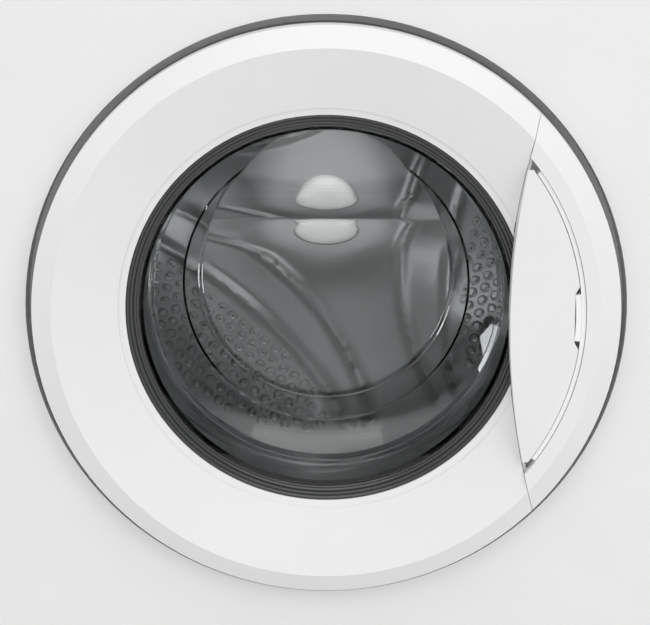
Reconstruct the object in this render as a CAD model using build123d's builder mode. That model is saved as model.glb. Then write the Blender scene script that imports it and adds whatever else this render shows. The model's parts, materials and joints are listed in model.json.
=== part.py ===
from build123d import *
import os
from math import acos, atan2, cos, radians, sin, sqrt

# Front load washing machine. X right, the door faces -Y, Z up, origin under the middle of the box.

# Overall sizes
WIDTH = 600.0
HEIGHT = 850.0
DEPTH = 580.0            # front panel face to back panel face
AXIS_Z = 430.0           # height of the door, drum and tub axis
DOOR_PROUD = 24.0        # door ridge in front of the front panel
REAR_PROUD = 14.0        # water inlet thread behind the back panel

# Sheet metal and mouldings
SHEET = 1.2
WALL = 2.5
FLANGE = 22.0
AIR = 0.4                # gap between pieces that never touch
RUN = 0.05               # radial play of a shaft in its bore

# Height bands
CASE_BOTTOM = 25.0
KICK_TOP = 150.0
FASCIA_BOTTOM = 715.0
WORKTOP_T = 32.0
CASE_TOP = HEIGHT - WORKTOP_T

# Door
DOOR_R = 235.0
RIDGE_R = 218.5
WINDOW_R = 161.0
DOOR_EDGE = -14.0        # front edge of the door rim, from the front panel face
RING_IN = -2.0           # inner end of the dished ring
SKIN = 2.5
RECESS_GAP = 6.0
RECESS_DEPTH = 16.0
MOUTH_R = 172.0          # opening through the front panel
GLASS_T = 4.5

# Grip on the right of the door
GRIP_X = 146.0           # left edge of the crescent, from the door axis
GRIP_ARC = 630.0
SLOT_R = 207.0
SLOT_W = 4.4
GRIP_Y = -22.5
LEVER_T = 3.5
LEVER_HALF = 121.0
NOTCH_W = 58.0           # at the lever's edge
NOTCH_IN = 20.5          # half its length at the bottom of the notch
NOTCH_DEEP = 5.0

# Hinge
PIVOT_X = -217.0
PIVOT_Y = -13.0
PIN_R = 3.0
KNUCKLE_R = 6.0
KNUCKLE_H = 30.0
NECK_REACH = 30.0
NECK_T = 4.0
NECK_SLOPE = 22.0

# Tub and drum
TUB_R = 258.0            # inside
TUB_WALL = 4.0
TUB_FRONT = 85.0
TUB_SPLIT = 250.0
TUB_BACK = 470.0
COLLAR_R = 165.0
DRUM_R = 243.0
DRUM_T = 1.0
DRUM_FRONT = 97.0
DRUM_BACK = 375.0
SHAFT_R = 12.5
BEARING_R = 26.0
PULLEY_R = 130.0
MOTOR_PULLEY_R = 10.0
BELT_T = 3.0
PULLEY_Y = 516.0
PULLEY_W = 14.0
MOTOR_X = 90.0
MOTOR_Z = 104.0
MOTOR_R = 50.0

# Feet
FOOT_X = 255.0
FOOT_Y = 235.0
FOOT_R = 20.0
FOOT_PAD = 12.0
STUD_R = 5.0
STUD_TOP = 62.0

F = (DOOR_PROUD - DEPTH - REAR_PROUD) / 2.0
SIDE = WIDTH / 2.0
SPIN = Axis((0, 0, AXIS_Z), (0, 1, 0))


def upright(y):
    """Plane at depth y behind the front panel, seen from the front: local x is X and local y is Z."""
    return Plane(origin=(0, F + y, 0), x_dir=(1, 0, 0), z_dir=(0, -1, 0))


def block(x0, x1, y0, y1, z0, z1, mode=Mode.ADD):
    """Box between two corners, y measured from the front panel face."""
    with Locations(((x0 + x1) / 2, F + (y0 + y1) / 2, (z0 + z1) / 2)):
        Box(x1 - x0, y1 - y0, z1 - z0, mode=mode)


def turned(points, mode=Mode.ADD):
    """Body of revolution about the drum axis from (radius, y) points."""
    with BuildSketch(Plane.XY.offset(AXIS_Z)) as face:
        with BuildLine():
            Polyline([(r, F + y) for r, y in points], close=True)
        make_face()
    revolve(face.sketch, axis=SPIN, revolution_arc=360, mode=mode)


def tube_y(x, z, y0, y1, radius, inner=0.0, mode=Mode.ADD):
    """Round bar or tube along Y."""
    with BuildSketch(upright(y1)) as face:
        with Locations((x, z)):
            Circle(radius)
            if inner:
                Circle(inner, mode=Mode.SUBTRACT)
    extrude(face.sketch, amount=y1 - y0, mode=mode)


def tube_z(x, y, z0, z1, radius, inner=0.0, mode=Mode.ADD):
    """Round bar or tube along Z, y measured from the front panel face."""
    with BuildSketch(Plane.XY.offset(z0)) as face:
        with Locations((x, F + y)):
            Circle(radius)
            if inner:
                Circle(inner, mode=Mode.SUBTRACT)
    extrude(face.sketch, amount=z1 - z0, mode=mode)


def tube_x(y, z, x0, x1, radius, mode=Mode.ADD):
    """Round bar along X."""
    with BuildSketch(Plane.YZ.offset(x0)) as face:
        with Locations((F + y, z)):
            Circle(radius)
    extrude(face.sketch, amount=x1 - x0, mode=mode)


def hex_y(x, z, y0, y1, across, mode=Mode.ADD):
    """Hexagon bar along Y."""
    with BuildSketch(upright(y1)) as face:
        with Locations((x, z)):
            RegularPolygon(across / 2, 6, major_radius=False)
    extrude(face.sketch, amount=y1 - y0, mode=mode)


def pipe(points, bend, radius, inner=0.0):
    """Round hose or wire along straight runs and tangent bends."""
    path = [(x, F + y, z) for x, y, z in points]
    with BuildLine() as route:
        FilletPolyline(path, radius=bend)
    start = Plane(origin=route.line @ 0, z_dir=route.line % 0)
    with BuildSketch(start) as face:
        Circle(radius)
        if inner:
            Circle(inner, mode=Mode.SUBTRACT)
    sweep(face.sketch, path=route.line)


def ring_at(radius, count, start=0.0):
    """Points spaced round the drum axis, as (x, z)."""
    step = 360.0 / count
    angles = [radians(start + i * step) for i in range(count)]
    return [(radius * cos(a), AXIS_Z + radius * sin(a)) for a in angles]


def grip_region(radius, y0, y1, mode=Mode.ADD):
    """Everything to the right of the grip arc of the given radius."""
    with BuildSketch(upright(y1)) as face:
        with Locations((GRIP_X + GRIP_ARC, AXIS_Z)):
            Circle(radius)
    extrude(face.sketch, amount=y1 - y0, mode=mode)


# ---------------------------------------------------------------- cabinet
SHELL_FRONT = WALL
SHELL_BACK = DEPTH - SHEET
FASCIA_DEEP = 32.0
inner_x = SIDE - SHEET

with BuildPart() as cabinet_wrapper:
    block(-SIDE, SIDE, SHELL_FRONT, SHELL_BACK, CASE_BOTTOM, CASE_TOP)
    block(-inner_x, inner_x, SHELL_FRONT + SHEET, SHELL_BACK - SHEET, CASE_BOTTOM, CASE_TOP, Mode.SUBTRACT)
    open_x = SIDE - FLANGE
    block(-open_x, open_x, SHELL_FRONT, SHELL_FRONT + SHEET, CASE_BOTTOM + FLANGE, CASE_TOP, Mode.SUBTRACT)
    block(-open_x, open_x, SHELL_BACK - SHEET, SHELL_BACK, CASE_BOTTOM + FLANGE, CASE_TOP - FLANGE, Mode.SUBTRACT)
    block(-SIDE, SIDE, SHELL_FRONT, FASCIA_DEEP, FASCIA_BOTTOM, CASE_TOP, Mode.SUBTRACT)

RECESS_R = DOOR_R + RECESS_GAP
RECESS_FOOT = RECESS_R - 2.0
FLOOR_BACK = RECESS_DEPTH + SHEET
FLANGE_END = RECESS_DEPTH + 12.0
LOCK_X0 = 194.0
LOCK_X1 = 217.0
LOCK_HALF = 8.0
LOCK_SCREW_X = 206.0
LOCK_SCREW_Z = 34.0
SCREW_R = 2.0
HEM = 14.0
HINGE_SCREW_X = -205.0
HINGE_SCREW_Z = 30.0

with BuildPart() as front_panel:
    block(-SIDE, SIDE, 0, SHEET, KICK_TOP, FASCIA_BOTTOM - AIR)
    tube_y(0, AXIS_Z, 0, SHEET, RECESS_R + 2 * SHEET, mode=Mode.SUBTRACT)
    turned([
        (RECESS_R, 0), (RECESS_FOOT, RECESS_DEPTH), (MOUTH_R, RECESS_DEPTH), (MOUTH_R, FLANGE_END),
        (MOUTH_R + SHEET, FLANGE_END), (MOUTH_R + SHEET, FLOOR_BACK), (RECESS_FOOT + SHEET, FLOOR_BACK),
        (RECESS_R + SHEET, SHEET), (RECESS_R + 2 * SHEET, SHEET), (RECESS_R + 2 * SHEET, 0),
    ])
    for side in (-1, 1):
        edges = sorted((side * SIDE, side * (SIDE - SHEET)))
        block(edges[0], edges[1], SHEET, SHELL_FRONT, KICK_TOP, FASCIA_BOTTOM - AIR)
    hem_x = SIDE - FLANGE - SHEET
    block(-hem_x, hem_x, SHEET, HEM, KICK_TOP, KICK_TOP + SHEET)
    block(-hem_x, hem_x, SHEET, HEM, FASCIA_BOTTOM - AIR - SHEET, FASCIA_BOTTOM - AIR)
    block(LOCK_X0, LOCK_X1, RECESS_DEPTH, FLOOR_BACK, AXIS_Z - LOCK_HALF, AXIS_Z + LOCK_HALF, Mode.SUBTRACT)
    for side in (-1, 1):
        tube_y(LOCK_SCREW_X, AXIS_Z + side * LOCK_SCREW_Z, RECESS_DEPTH, FLOOR_BACK, SCREW_R, mode=Mode.SUBTRACT)
        tube_y(HINGE_SCREW_X, AXIS_Z + side * HINGE_SCREW_Z, RECESS_DEPTH, FLOOR_BACK, SCREW_R, mode=Mode.SUBTRACT)

INLET_X = -200.0
INLET_Z = 760.0
INLET_R = 13.2
INLET_STEP = 0.8
DRAIN_X = 212.0
DRAIN_Z = 690.0
DRAIN_R = 10.0
GLAND_X = 225.0
GLAND_Z = 120.0
GLAND_R = 9.0
BOLT_X = 190.0
BOLT_LOW = 300.0
BOLT_HIGH = 560.0
BOLT_HOLE_R = 11.0
BACK_INSIDE = DEPTH - SHEET

transit_points = [(sx * BOLT_X, z) for sx in (-1, 1) for z in (BOLT_LOW, BOLT_HIGH)]

with BuildPart() as back_panel:
    block(-SIDE, SIDE, BACK_INSIDE, DEPTH, CASE_BOTTOM, CASE_TOP)
    tube_y(INLET_X, INLET_Z, BACK_INSIDE, DEPTH, INLET_R + 1.0, mode=Mode.SUBTRACT)
    tube_y(DRAIN_X, DRAIN_Z, BACK_INSIDE, DEPTH, DRAIN_R + 2.8, mode=Mode.SUBTRACT)
    tube_y(GLAND_X, GLAND_Z, BACK_INSIDE, DEPTH, GLAND_R, mode=Mode.SUBTRACT)
    for x, z in transit_points:
        tube_y(x, z, BACK_INSIDE, DEPTH, BOLT_HOLE_R, mode=Mode.SUBTRACT)
    tube_y(GLAND_X, GLAND_Z, BACK_INSIDE - 6, DEPTH + 4, GLAND_R + 1, GLAND_R - 2)

with BuildPart() as worktop:
    block(-SIDE, SIDE, 0, DEPTH, CASE_TOP, HEIGHT)
    fillet(worktop.faces().sort_by(Axis.Z)[-1].edges(), radius=4.0)

PAN_FLOOR = CASE_BOTTOM + 2.0
PAN_T = 3.0
PAN_GAP = 0.3
pan_x = inner_x - PAN_GAP
PAN_FRONT = SHELL_FRONT + SHEET + PAN_GAP
PAN_BACK = SHELL_BACK - SHEET - PAN_GAP
PAN_RIM = 60.0
BOSS_R = 14.0
DAMPER_X = 150.0
DAMPER_Y = 280.0
DAMPER_R = 14.0
DAMPER_FOOT = 50.0
PUMP_X = 200.0
PUMP_Z = 96.0
PUMP_R = 34.0
foot_points = [(sx * FOOT_X, sy) for sx in (-1, 1) for sy in (DEPTH / 2 - FOOT_Y, DEPTH / 2 + FOOT_Y)]

with BuildPart() as base_pan:
    block(-pan_x, pan_x, PAN_FRONT, PAN_BACK, PAN_FLOOR, PAN_RIM)
    block(-pan_x + PAN_T, pan_x - PAN_T, PAN_FRONT + PAN_T, PAN_BACK - PAN_T, PAN_FLOOR + PAN_T, PAN_RIM, Mode.SUBTRACT)
    for x, y in foot_points:
        tube_z(x, y, CASE_BOTTOM, PAN_RIM, BOSS_R)
    for x, y in foot_points:
        tube_z(x, y, CASE_BOTTOM, PAN_RIM, STUD_R + RUN, mode=Mode.SUBTRACT)
    for side in (-1, 1):
        tube_z(side * DAMPER_X, DAMPER_Y, PAN_FLOOR, DAMPER_FOOT, DAMPER_R + 6.0)
    block(PUMP_X - 24, PUMP_X + 24, 70, 130, PAN_FLOOR + PAN_T, PUMP_Z - PUMP_R + 4.0)
    tube_y(PUMP_X, PUMP_Z, 70, 130, PUMP_R, mode=Mode.SUBTRACT)

feet = {}
for tag, (x, y) in zip(("foot_front_left", "foot_rear_left", "foot_front_right", "foot_rear_right"), foot_points):
    with BuildPart() as foot:
        tube_z(x, y, 0, FOOT_PAD, FOOT_R)
        fillet(foot.edges().sort_by(Axis.Z)[-1], radius=3.0)
        with BuildSketch(Plane.XY.offset(FOOT_PAD)):
            with Locations((x, F + y)):
                RegularPolygon(8.5, 6, major_radius=False)
        extrude(amount=CASE_BOTTOM - AIR - FOOT_PAD)
        tube_z(x, y, FOOT_PAD, STUD_TOP, STUD_R)
    feet[tag] = foot

RAIL_Y = 300.0
RAIL_W = 30.0
RAIL_H = 22.0
SPRING_X = 268.0
SPRING_EYE_R = 3.0
SPRING_CUP_R = 8.0
SPRING_TOP = 776.0

with BuildPart() as top_rail:
    block(-inner_x, inner_x, RAIL_Y - RAIL_W / 2, RAIL_Y + RAIL_W / 2, CASE_TOP - RAIL_H, CASE_TOP)
    block(-inner_x, inner_x, RAIL_Y - RAIL_W / 2 + SHEET, RAIL_Y + RAIL_W / 2 - SHEET,
          CASE_TOP - RAIL_H + SHEET, CASE_TOP, Mode.SUBTRACT)
    for side in (-1, 1):
        tube_z(side * SPRING_X, RAIL_Y, SPRING_TOP - 12, CASE_TOP - RAIL_H + SHEET, SPRING_EYE_R)
        tube_z(side * SPRING_X, RAIL_Y, SPRING_TOP - 14, SPRING_TOP, SPRING_CUP_R)

# ---------------------------------------------------------------- kick panel, flap and pump
KICK_BOTTOM = 30.0
FLAP_X0 = 135.0
FLAP_X1 = 265.0
FLAP_Z0 = 62.0
FLAP_Z1 = 138.0
FLAP_T = 2.5
FLAP_PIN_R = 2.0
FLAP_PIN_Y = 4.5
FLAP_GAP = 2.0
FLAP_PIN_Z = FLAP_Z0 + 7.0
EAR = 4.0

with BuildPart() as kick_panel:
    block(-SIDE, SIDE, 0, WALL, KICK_BOTTOM, KICK_TOP - AIR)
    block(-hem_x, hem_x, WALL, HEM, KICK_TOP - AIR - WALL, KICK_TOP - AIR)
    block(FLAP_X0, FLAP_X1, 0, WALL, FLAP_Z0, FLAP_Z1, Mode.SUBTRACT)
    for x0, x1 in ((FLAP_X0 - EAR, FLAP_X0), (FLAP_X1, FLAP_X1 + EAR)):
        block(x0, x1, WALL, FLAP_PIN_Y + EAR, FLAP_PIN_Z - EAR, FLAP_PIN_Z + EAR)
        tube_x(FLAP_PIN_Y, FLAP_PIN_Z, x0, x1, FLAP_PIN_R + RUN, mode=Mode.SUBTRACT)

with BuildPart() as filter_flap:
    block(FLAP_X0 + AIR, FLAP_X1 - AIR, 0, FLAP_T, FLAP_Z0 + FLAP_GAP, FLAP_Z1 - AIR)
    for x0, x1 in ((FLAP_X0 + AIR, FLAP_X0 + AIR + EAR), (FLAP_X1 - AIR - EAR, FLAP_X1 - AIR)):
        block(x0, x1, FLAP_T, FLAP_PIN_Y, FLAP_PIN_Z - FLAP_PIN_R, FLAP_PIN_Z + FLAP_PIN_R)
        tube_x(FLAP_PIN_Y, FLAP_PIN_Z, x0, x1, FLAP_PIN_R)
    tube_x(FLAP_PIN_Y, FLAP_PIN_Z, FLAP_X0 - EAR, FLAP_X0 + AIR, FLAP_PIN_R)
    tube_x(FLAP_PIN_Y, FLAP_PIN_Z, FLAP_X1 - AIR, FLAP_X1 + EAR, FLAP_PIN_R)
    mid_x = (FLAP_X0 + FLAP_X1) / 2
    tube_y(mid_x, FLAP_Z1, 0, FLAP_T, 11.0, mode=Mode.SUBTRACT)

PUMP_FRONT = 46.0
PUMP_BACK = 150.0
PUMP_WALL = 3.0
CAP_R = PUMP_R - PUMP_WALL
IMPELLER_R = 20.0
PUMP_SHAFT_R = 3.0
PORT_Y = 110.0
PORT_R = 16.0
OUT_R = 12.0
OUT_Y = 138.0

with BuildPart() as pump_housing:
    tube_y(PUMP_X, PUMP_Z, PUMP_FRONT, PUMP_BACK, PUMP_R)
    tube_y(PUMP_X, PUMP_Z, PUMP_BACK, PUMP_BACK + 45, PUMP_R - 8)
    tube_x(PORT_Y, PUMP_Z + 10, PUMP_X - PUMP_R - 22, PUMP_X, PORT_R)
    tube_z(PUMP_X + 15, OUT_Y, PUMP_Z, PUMP_Z + PUMP_R + 22, OUT_R - 2)
    tube_y(PUMP_X, PUMP_Z, PUMP_FRONT, PUMP_BACK - PUMP_WALL, CAP_R, mode=Mode.SUBTRACT)
    tube_x(PORT_Y, PUMP_Z + 10, PUMP_X - PUMP_R - 22, PUMP_X, PORT_R - 3, mode=Mode.SUBTRACT)
    tube_z(PUMP_X + 15, OUT_Y, PUMP_Z, PUMP_Z + PUMP_R + 22, OUT_R - 4, mode=Mode.SUBTRACT)
    tube_y(PUMP_X, PUMP_Z, PUMP_BACK - PUMP_WALL, PUMP_BACK + 36, PUMP_SHAFT_R + RUN, mode=Mode.SUBTRACT)

with BuildPart() as pump_impeller:
    tube_y(PUMP_X, PUMP_Z, PUMP_BACK - 12, PUMP_BACK + 34, PUMP_SHAFT_R)
    tube_y(PUMP_X, PUMP_Z, PUMP_BACK - 6, PUMP_BACK - 4, IMPELLER_R)
    for i in range(4):
        with BuildSketch(upright(PUMP_BACK - 6)):
            with Locations(Location((PUMP_X, PUMP_Z), 45 * i)):
                Rectangle(2 * IMPELLER_R, 2.0)
        extrude(amount=8)

CAP_FRONT = 18.0

with BuildPart() as filter_cap:
    tube_y(PUMP_X, PUMP_Z, PUMP_FRONT - 8, PUMP_FRONT + 24, CAP_R - RUN)
    tube_y(PUMP_X, PUMP_Z, PUMP_FRONT - 4, PUMP_FRONT + 24, CAP_R - 3, mode=Mode.SUBTRACT)
    tube_y(PUMP_X, PUMP_Z, PUMP_FRONT - 10, PUMP_FRONT - AIR, PUMP_R + 2, CAP_R - 3)
    block(PUMP_X - 24, PUMP_X + 24, CAP_FRONT, PUMP_FRONT - 8, PUMP_Z - 4, PUMP_Z + 4)
    for i in range(6):
        with BuildSketch(upright(PUMP_FRONT + 78)):
            with Locations(Location((PUMP_X, PUMP_Z), 60 * i)):
                with Locations((CAP_R - 4, 0)):
                    Rectangle(6, 4)
        extrude(amount=60)
    tube_y(PUMP_X, PUMP_Z, PUMP_FRONT + 76, PUMP_FRONT + 79, CAP_R - 3, CAP_R - 8)

# ---------------------------------------------------------------- control panel
FASCIA_TOP = CASE_TOP - AIR
DRAWER_X0 = -284.0
DRAWER_X1 = -116.0
DRAWER_Z0 = 728.0
DRAWER_Z1 = 806.0
KNOB_X = -30.0
MID_Z = 767.0
KNOB_R = 25.0
KNOB_HOLE_R = 8.0
SCREEN_X0 = 70.0
SCREEN_X1 = 170.0
SCREEN_Z0 = 748.0
SCREEN_Z1 = 788.0
BUTTON_W = 40.0
BUTTON_H = 9.0
BUTTON_ROW_Z = 734.0
START_X = 215.0
POWER_X = 262.0
ROUND_R = 12.0
BOARD_Y = 22.0
option_x = [(SCREEN_X0 + SCREEN_X1) / 2]
button_names = ["option_button"]

with BuildPart() as control_panel:
    block(-SIDE, SIDE, 0, FASCIA_DEEP, FASCIA_BOTTOM, FASCIA_TOP)
    block(-SIDE + WALL, SIDE - WALL, WALL, FASCIA_DEEP, FASCIA_BOTTOM + WALL, FASCIA_TOP - WALL, Mode.SUBTRACT)
    block(DRAWER_X0, DRAWER_X1, 0, WALL, DRAWER_Z0, DRAWER_Z1, Mode.SUBTRACT)
    block(SCREEN_X0, SCREEN_X1, 0, WALL, SCREEN_Z0, SCREEN_Z1, Mode.SUBTRACT)
    tube_y(KNOB_X, MID_Z, 0, WALL, KNOB_HOLE_R, mode=Mode.SUBTRACT)
    for x in option_x:
        block(x - BUTTON_W / 2, x + BUTTON_W / 2, 0, WALL,
              BUTTON_ROW_Z - BUTTON_H / 2, BUTTON_ROW_Z + BUTTON_H / 2, Mode.SUBTRACT)
    for x in (START_X, POWER_X):
        tube_y(x, MID_Z, 0, WALL, ROUND_R, mode=Mode.SUBTRACT)
    for x in (20.0, SIDE - 14.0):
        for z in (FASCIA_BOTTOM + 9, FASCIA_TOP - 9):
            tube_y(x, z, WALL, BOARD_Y, 4.0)

with BuildPart() as display_window:
    block(SCREEN_X0 - 3, SCREEN_X1 + 3, WALL, WALL + 1.5, SCREEN_Z0 - 3, SCREEN_Z1 + 3)
    block(SCREEN_X0 + 0.2, SCREEN_X1 - 0.2, 0.4, WALL, SCREEN_Z0 + 0.2, SCREEN_Z1 - 0.2)

SHAFT_BORE = 3.0

with BuildPart() as control_board:
    block(KNOB_X - 20, SIDE - 5, BOARD_Y, BOARD_Y + 1.6, FASCIA_BOTTOM + 4, FASCIA_TOP - 4)
    block(SCREEN_X0 + 4, SCREEN_X1 - 4, BOARD_Y - 10, BOARD_Y, SCREEN_Z0 + 3, SCREEN_Z1 - 3)
    for x, z in [(x, BUTTON_ROW_Z) for x in option_x] + [(START_X, MID_Z), (POWER_X, MID_Z)]:
        block(x - 3, x + 3, BOARD_Y - 4, BOARD_Y, z - 3, z + 3)
    block(KNOB_X - 18, KNOB_X + 18, WALL + 2, BOARD_Y, MID_Z - 18, MID_Z + 18)
    tube_y(KNOB_X, MID_Z, WALL + 2, BOARD_Y - 2, SHAFT_BORE + RUN, mode=Mode.SUBTRACT)

with BuildPart() as program_knob:
    tube_y(KNOB_X, MID_Z, -20, -1, KNOB_R)
    fillet(program_knob.faces().sort_by(Axis.Y)[0].edges(), radius=3.0)
    tube_y(KNOB_X, MID_Z, -14, -1, KNOB_R - 3, KNOB_HOLE_R - 1.5, mode=Mode.SUBTRACT)
    tube_y(KNOB_X, MID_Z, -14, WALL + 1, KNOB_HOLE_R - 1)
    tube_y(KNOB_X, MID_Z, -2, BOARD_Y - 4, SHAFT_BORE)
    block(KNOB_X - 1.2, KNOB_X + 1.2, -21, -19, MID_Z + 8, MID_Z + KNOB_R - 4)

buttons = {}
for tag, x in zip(button_names, option_x):
    with BuildPart() as key:
        block(x - BUTTON_W / 2 + AIR, x + BUTTON_W / 2 - AIR, -1.5, WALL,
              BUTTON_ROW_Z - BUTTON_H / 2 + AIR, BUTTON_ROW_Z + BUTTON_H / 2 - AIR)
        fillet(key.faces().sort_by(Axis.Y)[0].edges(), radius=0.8)
        block(x - BUTTON_W / 2 - 2, x + BUTTON_W / 2 + 2, WALL + AIR, WALL + 2,
              BUTTON_ROW_Z - BUTTON_H / 2 - 2, BUTTON_ROW_Z + BUTTON_H / 2 + 2)
        block(x - 2, x + 2, WALL, BOARD_Y - 4 - 1.8, BUTTON_ROW_Z - 2, BUTTON_ROW_Z + 2)
    buttons[tag] = key
for tag, x in (("start_button", START_X), ("power_button", POWER_X)):
    with BuildPart() as key:
        tube_y(x, MID_Z, -2, WALL + AIR, ROUND_R - AIR)
        fillet(key.faces().sort_by(Axis.Y)[0].edges(), radius=1.2)
        tube_y(x, MID_Z, WALL + AIR, WALL + 2, ROUND_R + 2)
        tube_y(x, MID_Z, WALL, BOARD_Y - 4 - 1.8, 2.5)
    buttons[tag] = key

# ---------------------------------------------------------------- detergent drawer
TRAY_X0 = DRAWER_X0 + 6
TRAY_X1 = DRAWER_X1 - 6
TRAY_Z0 = DRAWER_Z0 + 4
TRAY_Z1 = DRAWER_Z1 - 14
TRAY_BACK = 205.0
TRAY_T = 2.0
HOUSING_BACK = 225.0
HOUSE_GAP = 1.0
HOUSE_T = 2.0
NOZZLE_Z = 772.0
tray_walls = [TRAY_X0 + 62, TRAY_X0 + 118]

with BuildPart() as drawer_front:
    block(DRAWER_X0 + AIR, DRAWER_X1 - AIR, -3, 2, DRAWER_Z0 + AIR, DRAWER_Z1 - AIR)
    fillet(drawer_front.faces().sort_by(Axis.Y)[0].edges(), radius=1.5)
    block(DRAWER_X0 + 30, DRAWER_X1 - 30, -1, 2, DRAWER_Z0, DRAWER_Z0 + 14, Mode.SUBTRACT)
    block(TRAY_X0 + 4, TRAY_X1 - 4, 2, 6, TRAY_Z1 - 10, TRAY_Z1 - 4)

with BuildPart() as detergent_tray:
    block(TRAY_X0, TRAY_X1, 2, TRAY_BACK, TRAY_Z0, TRAY_Z1)
    for x0, x1 in ((TRAY_X0, tray_walls[0]), (tray_walls[0], tray_walls[1]), (tray_walls[1], TRAY_X1)):
        block(x0 + TRAY_T / 2 + (x0 == TRAY_X0) * TRAY_T / 2, x1 - TRAY_T / 2 - (x1 == TRAY_X1) * TRAY_T / 2,
              2 + TRAY_T, TRAY_BACK - TRAY_T, TRAY_Z0 + TRAY_T, TRAY_Z1, Mode.SUBTRACT)
    block(TRAY_X0 + 3, TRAY_X1 - 3, 2, 6 + AIR, TRAY_Z1 - 10 - AIR, TRAY_Z1 - 4 + AIR, Mode.SUBTRACT)

SIPHON_X = TRAY_X0 + 90
SIPHON_Y = 170.0

with BuildPart() as dispenser_housing:
    hx0 = TRAY_X0 - HOUSE_GAP - HOUSE_T
    hx1 = TRAY_X1 + HOUSE_GAP + HOUSE_T
    hz0 = TRAY_Z0 - HOUSE_GAP - HOUSE_T
    hz1 = CASE_TOP - 6
    block(hx0, hx1, WALL, HOUSING_BACK, hz0, hz1)
    block(hx0 + HOUSE_T, hx1 - HOUSE_T, WALL, HOUSING_BACK - HOUSE_T, hz0 + HOUSE_T, hz1 - HOUSE_T, Mode.SUBTRACT)
    house_x = (hx0 + hx1) / 2
    tube_z(house_x, HOUSING_BACK - 25, hz0 - 18, hz0 + HOUSE_T, 14.0)
    tube_z(house_x, HOUSING_BACK - 25, hz0 - 18, hz0 + HOUSE_T, 11.0, mode=Mode.SUBTRACT)
    tube_y(INLET_X, NOZZLE_Z, HOUSING_BACK - HOUSE_T, HOUSING_BACK + 16, 7.0)
    tube_y(INLET_X, NOZZLE_Z, HOUSING_BACK - HOUSE_T, HOUSING_BACK + 16, 5.0, mode=Mode.SUBTRACT)

VALVE_Y0 = 520.0         # front of the valve body

with BuildPart() as inlet_valve:
    tube_y(INLET_X, INLET_Z, DEPTH - SHEET - 16, DEPTH, INLET_R - INLET_STEP, INLET_R - 4)
    tube_y(INLET_X, INLET_Z, DEPTH, DEPTH + REAR_PROUD, INLET_R, INLET_R - 4)
    tube_y(INLET_X, INLET_Z, DEPTH - SHEET - 6, DEPTH - SHEET, INLET_R + 5, INLET_R - 4)
    block(INLET_X - 18, INLET_X + 18, VALVE_Y0, DEPTH - SHEET - 16, INLET_Z - 16, INLET_Z + 16)
    tube_z(INLET_X, VALVE_Y0 + 18, INLET_Z + 16, INLET_Z + 40, 13.0)
    tube_y(INLET_X, INLET_Z, VALVE_Y0 - 18, VALVE_Y0, 7.0)

# ---------------------------------------------------------------- door
RING_SLOPE = (RING_IN - DOOR_EDGE + 10.0) / (RIDGE_R - WINDOW_R)
RIDGE_Y = -DOOR_PROUD
DOOR_BACK = -4.0
FRAME_RIM = 2.0
GLASS_SEAT = 4.0
GLASS_FLANGE_R = MOUTH_R
COVER_Y = 9.0
COVER_T = 3.0
COVER_R = 213.0
COVER_IN = 152.0
RIM_IN = DOOR_R - SKIN
STEP_R = WINDOW_R + 6.0
DOOR_SCREW_R = 195.0
BOSS_SMALL_R = 5.0
DOOR_SCREW = 1.5
door_screw_points = [
    (DOOR_SCREW_R * cos(radians(a)), AXIS_Z + DOOR_SCREW_R * sin(radians(a)))
    for a in (58, 90, 122, 154, 206, 238, 270, 302)
]
rim_front = [(DOOR_R, DOOR_BACK), (DOOR_R, DOOR_EDGE), (RIDGE_R, RIDGE_Y)]
rim_back = [(RIDGE_R, RIDGE_Y + SKIN + 0.3), (RIM_IN, DOOR_EDGE + 1.4), (RIM_IN, DOOR_BACK)]
KNUCKLE_HALF = KNUCKLE_H / 2
NOTCH_HALF = KNUCKLE_HALF + 3.0

with BuildPart() as door_outer_ring:
    turned(rim_front + [
        (STEP_R, RING_IN - RING_SLOPE * 6.0), (STEP_R - 0.6, RING_IN - 0.6), (WINDOW_R, RING_IN + 0.8),
        (WINDOW_R, GLASS_SEAT), (WINDOW_R + SKIN, GLASS_SEAT), (WINDOW_R + SKIN, RING_IN + SKIN + 0.6),
        (STEP_R + 2.0, RING_IN + 1.2),
    ] + rim_back)
    for x, z in door_screw_points:
        tube_y(x, z, -13.0, COVER_Y, BOSS_SMALL_R)
    for x, z in door_screw_points:
        tube_y(x, z, -8.0, COVER_Y, DOOR_SCREW, mode=Mode.SUBTRACT)
    grip_region(GRIP_ARC + AIR, RIDGE_Y - 2, COVER_Y + 1, Mode.SUBTRACT)
    block(-DOOR_R - 1, -DOOR_R + 20, -6.0, DOOR_BACK + 1, AXIS_Z - NOTCH_HALF, AXIS_Z + NOTCH_HALF, Mode.SUBTRACT)

FLOOR_Y = -8.0
GRIP_WALL_Y = -15.5
LEVER_PIN_X = 156.0
LEVER_PIN_Y = -12.0
LEVER_PIN_R = 1.5
LUG_R = 3.4
LEVER_LUG_Z = 36.0
BASE_LUG_Z = 44.0
LUG_W = 6.0
LEVER_BACK = GRIP_Y + LEVER_T
HOOK_X = 203.0
HOOK_Y = 2.0
HOOK_PIN_R = 2.0
HOOK_HALF = 3.0
NOSE_Y = 27.0
NOSE_X = 213.0
ARM_X = 179.5
ARM_FOOT = 5.5
ARM_TIP = 5.5
HOOK_SLOT = 4.5
BRACKET_T = 3.0

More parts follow.
